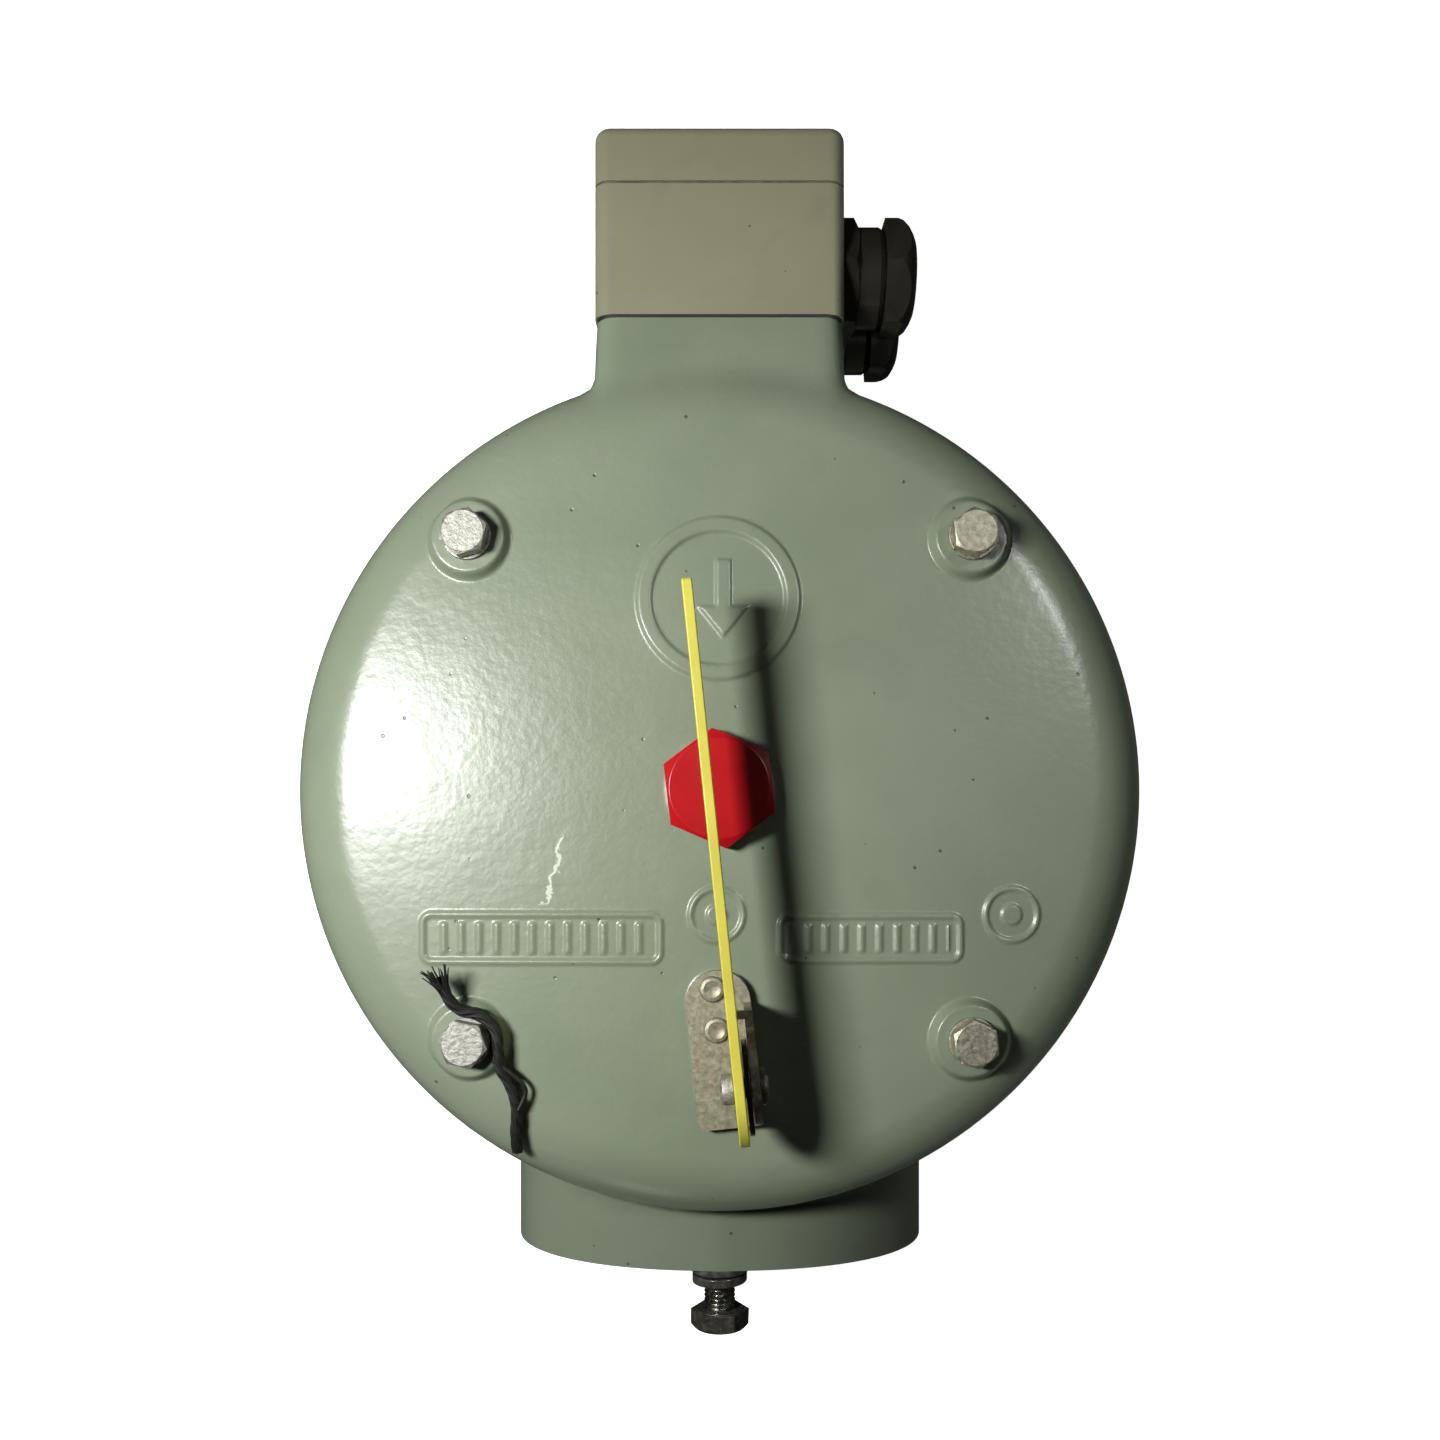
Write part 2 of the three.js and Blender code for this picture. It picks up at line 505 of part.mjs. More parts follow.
add('earth_flat_washer', onEarthAxis(ring(5.3, 10, -EARTH.face, -washerEnd, 20)), zinc);
add('earth_spring_washer', onEarthAxis(cut(ring(5.3, 9.1, -washerEnd, -washerEnd + EARTH.spring, 20),
  box([4, 12], [-0.8, 0.8], [100, 200]).rotateZ(-Math.PI / 3))), steel);
add('earth_screw', onEarthAxis(join(rod(EARTH.radius, 145, -EARTH.bearing + 1, 12),
  hexHead(EARTH.flats, -EARTH.bearing, -EARTH.end, 0))), steel);

// A cut length of cord left on the cover beside a bolt, from its frayed end to the one on the shoulder.
const tieRoute = [
  [-83.8, -59.6, 162], [-81.8, -64.2, 161.2], [-78.6, -67.4, 160], [-72.8, -68.9, 159.2], [-68.4, -73.6, 158.6],
  [-67.6, -79.8, 158.4], [-67, -85.4, 157.6], [-64.2, -90.8, 156.4], [-62.4, -97.6, 155.5], [-62.8, -106.5, 153.8],
  [-62.6, -112.2, 151.8],
];
const tieCurve = new THREE.CatmullRomCurve3(tieRoute.map((point) => new THREE.Vector3(...point)));
add('bolt_tie', sweep(tieCurve, 1.6, 16), rubber);

export default device;
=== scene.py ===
import math
import random

import bmesh
import bpy
import numpy as np
from mathutils import Matrix, Vector


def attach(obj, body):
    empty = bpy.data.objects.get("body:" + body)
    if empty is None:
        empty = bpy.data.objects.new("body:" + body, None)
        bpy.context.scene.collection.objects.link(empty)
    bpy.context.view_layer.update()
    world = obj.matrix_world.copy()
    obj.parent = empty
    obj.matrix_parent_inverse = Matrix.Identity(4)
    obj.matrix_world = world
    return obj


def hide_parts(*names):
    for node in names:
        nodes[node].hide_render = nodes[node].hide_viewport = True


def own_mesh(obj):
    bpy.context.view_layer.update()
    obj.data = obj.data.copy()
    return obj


# Pressure relief device of an oil-filled transformer. Shapes are made in millimetres and end in metres.
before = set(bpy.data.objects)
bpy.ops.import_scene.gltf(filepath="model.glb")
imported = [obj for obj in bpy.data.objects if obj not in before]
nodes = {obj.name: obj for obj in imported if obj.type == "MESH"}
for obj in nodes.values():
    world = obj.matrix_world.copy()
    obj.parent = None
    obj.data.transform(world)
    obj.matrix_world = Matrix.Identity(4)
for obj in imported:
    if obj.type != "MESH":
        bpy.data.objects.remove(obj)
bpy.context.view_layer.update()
scene = bpy.context.scene
scene.view_settings.view_transform = "Standard"
mm = 0.001
weld = 0.001  # corners closer than this, in millimetres, are one corner

# The camera looks straight down on the cover.
cameraView = {"place": (0.0008, -0.0157, 0.555), "lens": 32.5, "sensor": 36, "shiftX": -0.00146, "shiftY": 0.0833}
viewer = bpy.data.cameras.new("camera")
viewer.lens, viewer.sensor_width = cameraView["lens"], cameraView["sensor"]
viewer.shift_x, viewer.shift_y = cameraView["shiftX"], cameraView["shiftY"]
viewer.clip_start, viewer.clip_end = 0.01, 20
viewerObject = bpy.data.objects.new("camera", viewer)
viewerObject.location = cameraView["place"]
scene.collection.objects.link(viewerObject)
scene.camera = viewerObject


def placed(bm, matrix):
    bmesh.ops.transform(bm, matrix=matrix, verts=bm.verts)
    return bm


def shifted(x=0, y=0, z=0):
    return Matrix.Translation((x, y, z))


def turnedBy(degrees, axis="Z"):
    return Matrix.Rotation(math.radians(degrees), 4, axis)


alongX = turnedBy(90, "Y")  # a shape's own Z axis ends along +X
alongMinusY, alongPlusY = turnedBy(90, "X"), turnedBy(-90, "X")


def meshObject(bm, name):
    mesh = bpy.data.meshes.new(name)
    bm.to_mesh(mesh)
    bm.free()
    made = bpy.data.objects.new(name, mesh)
    scene.collection.objects.link(made)
    return made


def bakeModifiers(made):
    bpy.context.view_layer.update()
    mesh = bpy.data.meshes.new_from_object(made.evaluated_get(bpy.context.evaluated_depsgraph_get()))
    old = made.data
    made.modifiers.clear()
    made.data = mesh
    bpy.data.meshes.remove(old)
    return made


def removed(made):
    mesh = made.data
    bpy.data.objects.remove(made)
    bpy.data.meshes.remove(mesh)


def combined(first, *others, operation="UNION"):
    made = meshObject(first, "blank")
    tools = [meshObject(other, "tool") for other in others]
    for tool in tools:
        step = made.modifiers.new("combine", "BOOLEAN")
        step.operation, step.object, step.solver = operation, tool, "EXACT"
    bakeModifiers(made)
    result = bmesh.new()
    result.from_mesh(made.data)
    for used in [made, *tools]:
        removed(used)
    return result


def cleaned(bm):
    bmesh.ops.remove_doubles(bm, verts=bm.verts, dist=weld)
    bmesh.ops.recalc_face_normals(bm, faces=bm.faces)
    return bm


# A body turned about Z from [radius, height] points, closed or starting and ending on the axis.
def turned(profile, steps=64, closed=False):
    bm = bmesh.new()
    corners = [bm.verts.new((radius, 0, height)) for radius, height in profile]
    pairs = list(zip(corners, corners[1:] + (corners[:1] if closed else [])))
    for a, b in pairs:
        bm.edges.new((a, b))
    bmesh.ops.spin(bm, geom=bm.verts[:] + bm.edges[:], cent=(0, 0, 0), axis=(0, 0, 1), dvec=(0, 0, 0),
                   angle=math.tau, steps=steps, use_merge=True, use_normal_flip=False, use_duplicate=False)
    bmesh.ops.remove_doubles(bm, verts=bm.verts, dist=weld / 2)
    bmesh.ops.dissolve_degenerate(bm, edges=bm.edges, dist=weld / 2)
    return cleaned(bm)


def ringOf(inner, outer, low, high, steps=48):
    return turned([(inner, low), (outer, low), (outer, high), (inner, high)], steps, closed=True)


def rod(radius, low, high, steps=32):
    return turned([(0, low), (radius, low), (radius, high), (0, high)], steps)


# A flat plate from corners (x, y, rounding radius), standing on low and ending at high.
def plate(corners, low, high, segments=8):
    bm = bmesh.new()
    points = [bm.verts.new((x, y, low)) for x, y, radius in corners]
    bm.faces.new(points)
    count = len(corners)
    for i, (x, y, radius) in enumerate(corners):
        if radius <= 0:
            continue
        before, after = Vector(corners[i - 1][:2]), Vector(corners[(i + 1) % count][:2])
        here = Vector((x, y))
        corner = (before - here).angle(after - here)
        bmesh.ops.bevel(bm, geom=[points[i]], offset=radius / math.tan(corner / 2), offset_type="OFFSET",
                        segments=segments, profile=0.5, affect="VERTICES", material=-1)
    rise = bmesh.ops.extrude_face_region(bm, geom=bm.faces[:])
    top = [item for item in rise["geom"] if isinstance(item, bmesh.types.BMVert)]
    bmesh.ops.translate(bm, vec=(0, 0, high - low), verts=top)
    return cleaned(bm)


def bevelled(bm, chosen, width, segments=3):
    bmesh.ops.bevel(bm, geom=chosen, offset=width, offset_type="OFFSET", segments=segments, profile=0.5,
                    affect="EDGES", material=-1, clamp_overlap=True)
    return bm


def block(x, y, z):
    bm = bmesh.new()
    bmesh.ops.create_cube(bm, size=1)
    bmesh.ops.scale(bm, vec=(x[1] - x[0], y[1] - y[0], z[1] - z[0]), verts=bm.verts)
    middle = ((x[0] + x[1]) / 2, (y[0] + y[1]) / 2, (z[0] + z[1]) / 2)
    bmesh.ops.translate(bm, vec=middle, verts=bm.verts)
    return bm


# The edges of a block that run along Y.
def longEdges(bm):
    return [e for e in bm.edges if abs(e.verts[0].co.y - e.verts[1].co.y) > 1]


def hexBlank(flats, low, high, turn=0):
    bm = bmesh.new()
    bmesh.ops.create_cone(bm, cap_ends=True, segments=6, radius1=flats / math.sqrt(3),
                          radius2=flats / math.sqrt(3), depth=high - low)
    return placed(bm, turnedBy(turn - 30) @ shifted(z=(low + high) / 2))


# A hexagon head, with its outer corners turned off at 30 degrees and a shallow washer face under it.
def hexHead(flats, low, high, turn=0):
    corner = flats / math.sqrt(3) + 0.5
    flat = flats * 0.475
    drop = (corner - flat) * math.tan(math.radians(30))
    cutter = turned([(0, low), (flat, low), (flat, low + 0.3), (corner + 1, low + 0.3), (corner, high - drop),
                     (flat, high), (0, high)], 64)
    return combined(hexBlank(flats, low - 1, high + 1, turn), cutter, operation="INTERSECT")


# A bar of round or square section along a rising arc, from a small closed outline of [radius, height].
def coil(outline, angle, rise, steps, start=0):
    bm = bmesh.new()
    corners = [bm.verts.new((radius, 0, height)) for radius, height in outline]
    for a, b in zip(corners, corners[1:] + corners[:1]):
        bm.edges.new((a, b))
    bmesh.ops.rotate(bm, cent=(0, 0, 0), matrix=Matrix.Rotation(math.radians(start), 3, "Z"), verts=bm.verts)
    bmesh.ops.spin(bm, geom=bm.verts[:] + bm.edges[:], cent=(0, 0, 0), axis=(0, 0, 1), dvec=(0, 0, rise / steps),
                   angle=math.radians(angle), steps=steps, use_merge=False, use_duplicate=False)
    bmesh.ops.holes_fill(bm, edges=[e for e in bm.edges if e.is_boundary], sides=0)
    return cleaned(bm)


# Turns a finished shape into a piece: its body, finish, slot and the CAD nodes that it stands for.
def piece(bm, name, body, look, stands=(), sharp=32, edge=0):
    bmesh.ops.scale(bm, vec=(mm, mm, mm), verts=bm.verts)
    made = meshObject(bm, name)
    made.data.materials.append(look)
    made.data.shade_smooth()
    made.data.set_sharp_from_angle(angle=math.radians(sharp))
    if edge:
        soften = made.modifiers.new("edges", "BEVEL")
        soften.width, soften.segments, soften.limit_method = edge * mm, 2, "ANGLE"
        soften.angle_limit = math.radians(min(sharp, 35))
        soften.harden_normals = True
    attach(made, body)
    if stands:
        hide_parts(*stands)
    return made


# A colour given as in a paint chart, as the linear values that shaders take.
def linear(hexColour):
    parts = [int(hexColour[i:i + 2], 16) / 255 for i in (1, 3, 5)]
    return [part / 12.92 if part <= 0.04045 else ((part + 0.055) / 1.055) ** 2.4 for part in parts] + [1]


# A node with its settings, and its inputs given as values or as other nodes' outputs.
def addNode(tree, kind, inputs=None, **settings):
    made = tree.nodes.new(kind)
    for key, value in settings.items():
        setattr(made, key, value)
    for socket, value in (inputs or {}).items():
        if isinstance(value, bpy.types.NodeSocket):
            tree.links.new(value, made.inputs[socket])
        else:
            made.inputs[socket].default_value = value
    return made


def startMaterial(name, inputs):
    made = bpy.data.materials.new(name)
    made.use_nodes = True
    shader = made.node_tree.nodes["Principled BSDF"]
    for socket, value in inputs.items():
        shader.inputs[socket].default_value = value
    return made, made.node_tree, shader


def setRamp(node, stops):
    while len(node.color_ramp.elements) > 1:
        node.color_ramp.elements.remove(node.color_ramp.elements[-1])
    node.color_ramp.elements[0].position, node.color_ramp.elements[0].color = stops[0][0], stops[0][1]
    for place, colour in stops[1:]:
        node.color_ramp.elements.new(place).color = colour
    return node.outputs["Color"]


black, white = (0, 0, 0, 1), (1, 1, 1, 1)


# A mask from values over spans in millimetres, each rising from its least to its most share, all multiplied.
def maskOf(tree, spans):
    mask = None
    for value, start, end, least, most in spans:
        share = addNode(tree, "ShaderNodeMapRange", {
            "Value": value, "From Min": start * mm, "From Max": end * mm, "To Min": least, "To Max": most,
        }).outputs["Result"]
        if mask:
            share = addNode(tree, "ShaderNodeMath", {0: mask, 1: share}, operation="MULTIPLY").outputs[0]
        mask = share
    return mask


# A scratch that wanders across the cover from its start to its end.
def scratchMask(tree, place, axes, scratch):
    start, end, bend = scratch["start"], scratch["end"], scratch["bend"] * mm
    along = addNode(tree, "ShaderNodeMapRange", {
        "Value": axes["Y"], "From Min": start[1] * mm, "From Max": end[1] * mm, "To Min": start[0] * mm,
        "To Max": end[0] * mm,
    }, clamp=False)
    wander = addNode(tree, "ShaderNodeTexNoise", {"Vector": place, "Scale": 1 / bend, "Detail": 4.0})
    wander = addNode(tree, "ShaderNodeMapRange", {"Value": wander.outputs["Fac"], "To Min": -bend, "To Max": bend})
    middle = addNode(tree, "ShaderNodeMath", {0: along.outputs["Result"], 1: wander.outputs["Result"]})
    halfway, reach = (start[1] + end[1]) / 2 * mm, abs(end[1] - start[1]) / 2
    spans = []
    for value, origin, span in ((axes["X"], middle.outputs[0], (*scratch["edge"], 0, scratch["most"])),
                               (axes["Y"], halfway, (reach, reach * 0.9, 0, 1))):
        distance = addNode(tree, "ShaderNodeMath", {0: value, 1: origin}, operation="SUBTRACT")
        distance = addNode(tree, "ShaderNodeMath", {0: distance.outputs[0]}, operation="ABSOLUTE")
        spans.append((distance.outputs[0], *span))
    return maskOf(tree, [*spans, (axes["Z"], *scratch["above"], 0, 1)])


# Two-part alkyd enamel sprayed thickly on a sand casting: glossy, with orange peel over the casting's own lumps.
def enamelPaint(name, colours, wearAndShade):
    made, tree, shader = startMaterial(name, {"IOR": 1.5, "Metallic": 0})
    place = addNode(tree, "ShaderNodeTexCoord").outputs["Object"]
    lumps = addNode(tree, "ShaderNodeTexNoise", {"Vector": place, "Scale": 1 / (16 * mm), "Detail": 2.0})
    peel = addNode(tree, "ShaderNodeTexNoise", {"Vector": place, "Scale": 1 / (2.6 * mm), "Detail": 2.0})
    patches = addNode(tree, "ShaderNodeTexNoise", {"Vector": place, "Scale": 1 / (60 * mm), "Detail": 3.0})
    specks = addNode(tree, "ShaderNodeTexVoronoi", {"Vector": place, "Scale": 1 / (11 * mm)})
    dirt = addNode(tree, "ShaderNodeTexNoise", {"Vector": place, "Scale": 1 / (24 * mm), "Detail": 5.0})
    paint = setRamp(addNode(tree, "ShaderNodeValToRGB", {"Fac": patches.outputs["Fac"]}),
                    [(0.35, linear(colours[0])), (0.65, linear(colours[1]))])
    # pits and trapped dust, most of them under a millimetre across
    pits = setRamp(addNode(tree, "ShaderNodeValToRGB", {"Fac": specks.outputs["Distance"]}),
                   [(wearAndShade["pit"], white), (wearAndShade["pit"] * 1.8, black)])
    smudge = setRamp(addNode(tree, "ShaderNodeValToRGB", {"Fac": dirt.outputs["Fac"]}),
                     [(0.58, black), (0.8, (wearAndShade["smudge"],) * 3 + (1,))])
    layers = [(pits, "#4d5344"), (smudge, "#5b5f4e")]
    if "paintedShade" in wearAndShade:
        axes = addNode(tree, "ShaderNodeSeparateXYZ", {"Vector": place}).outputs
        # painted shade on the nozzle under the hood's edge, darkest to the right: a dark colour standing in for the
        # hood's shadow and for the nozzle turning away from the lamp
        paintedShade = maskOf(tree, [(axes[axis], *wearAndShade["paintedShade"][axis]) for axis in "XYZ"])
        # a scratch down to the primer
        scratch = scratchMask(tree, place, axes, wearAndShade["scratch"])
        layers += [(paintedShade, "#23241d"), (scratch, "#d9dcce")]
    for mask, colour in layers:
        paint = addNode(tree, "ShaderNodeMix", {"Factor": mask, "A": paint, "B": linear(colour)},
                        data_type="RGBA").outputs[2]
    tree.links.new(paint, shader.inputs["Base Color"])
    gloss = addNode(tree, "ShaderNodeMapRange", {
        "Value": dirt.outputs["Fac"], "To Min": wearAndShade["gloss"], "To Max": wearAndShade["gloss"] + 0.12,
    })
    tree.links.new(gloss.outputs["Result"], shader.inputs["Roughness"])
    relief = None
    for height, depth in ((lumps.outputs["Fac"], wearAndShade["lump"]), (peel.outputs["Fac"], wearAndShade["peel"]), (pits, 0.08)):
        under = {"Normal": relief.outputs["Normal"]} if relief else {}
        relief = addNode(tree, "ShaderNodeBump", {
            "Height": height, "Strength": 1.0, "Distance": depth * mm, **under,
        }, invert=height == pits)
    tree.links.new(relief.outputs["Normal"], shader.inputs["Normal"])
    return made


# Metal with a fine grain: two tones mottled over each other, uneven gloss and dents of a real size.
def metalFinish(name, colours, roughness, grain, dent, metallic=1.0):
    made, tree, shader = startMaterial(name, {"Metallic": metallic})
    place = addNode(tree, "ShaderNodeTexCoord").outputs["Object"]
    mottle = addNode(tree, "ShaderNodeTexNoise", {
        "Vector": place, "Scale": 1 / (grain * mm), "Detail": 6.0, "Roughness": 0.65,
    })
    tint = setRamp(addNode(tree, "ShaderNodeValToRGB", {"Fac": mottle.outputs["Fac"]}),
                   [(0.36, linear(colours[0])), (0.52, linear(colours[1])), (0.66, linear(colours[2]))])
    tree.links.new(tint, shader.inputs["Base Color"])
    gloss = addNode(tree, "ShaderNodeMapRange", {
        "Value": mottle.outputs["Fac"], "From Min": 0.3, "From Max": 0.7, "To Min": roughness[0],
        "To Max": roughness[1],
    })
    tree.links.new(gloss.outputs["Result"], shader.inputs["Roughness"])
    bump = addNode(tree, "ShaderNodeBump", {
        "Height": mottle.outputs["Fac"], "Strength": 1.0, "Distance": dent * mm,
    })
    tree.links.new(bump.outputs["Normal"], shader.inputs["Normal"])
    return made


# Plastic, rubber or thin paint: one colour with slight drift, and a surface texture of a given grit.
def plainFinish(name, colours, roughness, grit, depth, ior=1.5, drift=30):
    made, tree, shader = startMaterial(name, {"IOR": ior, "Metallic": 0, "Roughness": roughness})
    place = addNode(tree, "ShaderNodeTexCoord").outputs["Object"]
    patches = addNode(tree, "ShaderNodeTexNoise", {"Vector": place, "Scale": 1 / (drift * mm), "Detail": 4.0})
    tint = setRamp(addNode(tree, "ShaderNodeValToRGB", {"Fac": patches.outputs["Fac"]}),
                   [(0.38, linear(colours[0])), (0.62, linear(colours[1]))])
    tree.links.new(tint, shader.inputs["Base Color"])
    texture = addNode(tree, "ShaderNodeTexNoise", {"Vector": place, "Scale": 1 / (grit * mm), "Detail": 3.0})
    bump = addNode(tree, "ShaderNodeBump", {
        "Height": texture.outputs["Fac"], "Strength": 1.0, "Distance": depth * mm,
    })
    tree.links.new(bump.outputs["Normal"], shader.inputs["Normal"])
    return made


# the painted shade on the nozzle along each axis: where it starts and is full in millimetres, and its least and most
# share
castPaint = enamelPaint("enamel on sand casting", ("#7b8670", "#838d78"), {
    "pit": 0.035, "smudge": 0.16, "gloss": 0.26, "lump": 0.18, "peel": 0.095,
    "paintedShade": {"X": (-10, 55, 0.17, 0.59), "Y": (-118, -130, 0, 1), "Z": (134, 127, 0, 1)},
    "scratch": {"start": (-55.2, -36), "end": (-47, -14), "bend": 7, "edge": (0.8, 0.4), "most": 0.75,
                "above": (149, 150)},
})
boxPaint = enamelPaint("enamel on die casting", ("#8a8a70", "#83836a"),
                       {"pit": 0.03, "smudge": 0.3, "gloss": 0.36, "lump": 0.06, "peel": 0.03})
# bright zinc plate on steel, rolled and knocked: pale, with darker scuffs
zincPlate = metalFinish("bright zinc plate", ("#84837a", "#9f9e95", "#bab9b0"), (0.4, 0.62), 1.8, 0.3, 0.7)
# the same plate gone dull and a little yellow
dullZinc = metalFinish("dull zinc plate", ("#8b8874", "#a5a28e", "#bab7a5"), (0.38, 0.56), 1.8, 0.25, 0.7)
darkSteel = metalFinish("blackened steel", ("#3a3834", "#4b4943", "#5f5c53"), (0.3, 0.48), 2.2, 0.05, 0.5)
springSteel = metalFinish("oiled spring steel", ("#4a4944", "#65635c", "#7d7a71"), (0.25, 0.4), 4, 0.03, 0.6)
stainless = metalFinish("stainless steel", ("#9a988f", "#c9c7be", "#e6e4dc"), (0.16, 0.3), 2, 0.04)
# aluminium sheet as rolled, weathered to a mottled grey beige
sheetAluminium = metalFinish("weathered aluminium sheet", ("#86826e", "#98947f", "#a8a591"), (0.42, 0.58), 1.3, 0.06,
                             0.6)
machinedAluminium = metalFinish("machined aluminium", ("#a3a29c", "#b9b8b2", "#c6c5c0"), (0.3, 0.42), 3, 0.02)
brassBush = metalFinish("turned brass", ("#9c7b3c", "#b6924c", "#c8a65e"), (0.24, 0.36), 3, 0.02)
nitrile = plainFinish("nitrile rubber", ("#171716", "#222120"), 0.62, 0.5, 0.02, ior=1.52)
blackNylon = plainFinish("moulded black polyamide", ("#1d1b17", "#282621"), 0.22, 0.8, 0.015, ior=1.53)
redCap = plainFinish("moulded red polyethylene", ("#b5171d", "#a81218"), 0.24, 1.1, 0.03, ior=1.46)
yellowPaint = plainFinish("yellow powder paint", ("#cdc54a", "#c4ba42"), 0.42, 1.2, 0.06, ior=1.5)
creamPlastic = plainFinish("cream melamine", ("#cfc8b2", "#c6bea6"), 0.4, 0.6, 0.01, ior=1.55)
cordFibre = plainFinish("black waxed cord fibre", ("#060604", "#11120d"), 0.6, 0.4, 0.05, ior=1.5, drift=2)
grimyRubber = plainFinish("painted-over rubber edge", ("#45443a", "#605d4a"), 0.7, 0.5, 0.03, ior=1.5, drift=4)
print("materials ready")

# The tie: three wax-black strands laid round each other, its upper end frayed.
tie = {
    "route": [(-83.8, -59.6, 162), (-81.8, -64.2, 161.2), (-78.6, -67.4, 160), (-72.8, -68.9, 159.2),
              (-68.4, -73.6, 158.6), (-67.6, -79.8, 158.4), (-67, -85.4, 157.6), (-64.2, -90.8, 156.4),
              (-62.4, -97.6, 155.5), (-62.8, -106.5, 153.8), (-62.6, -112.2, 151.8)],
    "perSpan": 12, "diameter": 3.2, "strands": 6, "strandRadius": 0.48, "layPitch": 30,
    "frayLength": 10.5, "frayStart": 9, "frays": 40, "frayRadius": 0.27,
    "loose": [(-69, -83, 158.6), (-64.6, -86.4, 158), (-60.4, -90.4, 157), (-59.6, -93.6, 156.4),
              (-61.6, -98.5, 156.6)],
    "looseRadius": 0.75,
}


# Points along a Catmull-Rom curve, close together.
def smoothRoute(points):
    corners = [Vector(point) for point in points]
    corners = [2 * corners[0] - corners[1], *corners, 2 * corners[-1] - corners[-2]]
    route = []
    for i in range(1, len(corners) - 2):
        a, b, c, d = corners[i - 1:i + 3]
        for k in range(tie["perSpan"]):
            t = k / tie["perSpan"]
            route.append(0.5 * (2 * b + (c - a) * t + (2 * a - 5 * b + 4 * c - d) * t * t
                                + (3 * b - a - 3 * c + d) * t ** 3))
    return route + [corners[-2]]


def curveObject(lines, name, radius, look, taper=None):
    data = bpy.data.curves.new(name, "CURVE")
    data.dimensions, data.bevel_depth, data.bevel_resolution, data.use_fill_caps = "3D", radius * mm, 2, True
    for line in lines:
        spline = data.splines.new("POLY")
        spline.points.add(len(line) - 1)
        for k, (point, place) in enumerate(zip(spline.points, line)):
            point.co = (*(place * mm), 1)
            point.radius = taper(k / (len(line) - 1)) if taper else 1
    data.materials.append(look)
    made = bpy.data.objects.new(name, data)
    scene.collection.objects.link(made)
    return made


def buildTie():
    route = smoothRoute(tie["route"])
    core = curveObject([route], "tieCord", tie["diameter"] / 2, cordFibre)
    strands = []
    for s in range(tie["strands"]):
        line, done = [], 0
        for i, place in enumerate(route):
            ahead = route[min(i + 1, len(route) - 1)] - route[max(i - 1, 0)]
            side = ahead.cross(Vector((0, 0, 1))).normalized()
            up = side.cross(ahead).normalized()
            if i:
                done += (place - route[i - 1]).length
            turn = math.tau * (done / tie["layPitch"] + s / tie["strands"])
            reach = tie["diameter"] / 2 - tie["strandRadius"] * 0.45
            line.append(place + reach * (math.cos(turn) * side + math.sin(turn) * up))
        strands.append(line)
    lay = curveObject(strands, "tieStrands", tie["strandRadius"], cordFibre)
    loose = curveObject([smoothRoute(tie["loose"])], "tieLooseStrand", tie["looseRadius"], cordFibre)
    dice = random.Random(11)
    out = (route[0] - route[tie["frayStart"]]).normalized()
    side = out.cross(Vector((0, 0, 1))).normalized()
    frays = []
    for f in range(tie["frays"]):
        spread, lift = dice.uniform(-0.62, 0.62), dice.uniform(-0.1, 0.3)
        reach = tie["frayLength"] * dice.uniform(0.6, 1)
        start = route[tie["frayStart"]] + side * dice.uniform(-1, 1) + Vector((0, 0, dice.uniform(-0.4, 1)))
        bend = dice.uniform(-0.25, 0.25)
        line = []
        for k in range(9):
            t = k / 8
            line.append(start + out * reach * t + side * reach * (spread * t ** 1.3 + bend * t * t) * 0.7
                        + Vector((0, 0, reach * lift * t)))
        frays.append(line)
    brush = curveObject(frays, "tieFrayedEnd", tie["frayRadius"], cordFibre, taper=lambda t: 1.25 - 0.6 * t)
    for part in (core, lay, loose, brush):
        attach(part, "housing")
    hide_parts("bolt_tie")


buildTie()

# The cast hood: dome, neck and nozzle run into each other with a foundry fillet.
hood = {
    "radius": 136, "flat": 114, "top": 155, "crown": 2.6, "shoulder": 22, "bottom": 22, "wall": 5,
    "neckHalf": 40.4, "neckTaper": 0.03, "neckLow": 52, "neckHigh": 145, "neckSlope": 0.16,
    "neckCorner": 7, "neckStart": 60, "neckTaperStart": 120, "neckMost": 147.5, "neckEnd": 150,
    "nozzleHalf": 73, "nozzleLow": 22, "nozzleHigh": 126, "nozzleCorner": 40, "nozzlePower": 2.2, "nozzleStart": -60,
    "nozzleEnd": -158, "bossHeight": 117, "bossRadius": 7.5, "bossStart": -120, "bossEnd": -159.4,
    "capSeat": 155.2, "capSeatEdge": (15.5, 17.5), "fillet": 4, "voxel": 3.1,
}
bolts = {"offset": 77.5, "padTop": 156.2, "washer": 2.2, "flats": 13, "head": 5.3, "shank": 4,
         "turn": (35.7, 16.5, 49.3, 35.3), "split": (232, 205, 150, 240)}
boltPlaces = [(bolts["offset"] * x, bolts["offset"] * y) for x, y in ((1, 1), (-1, 1), (-1, -1), (1, -1))]
armUnit = {"x": 1, "y": -81, "turn": 5.9, "base": 155.2,
           "seat": (0.2, 1.2, 9.6, 24, 9), "seatEdge": (-1.6, 0.6)}
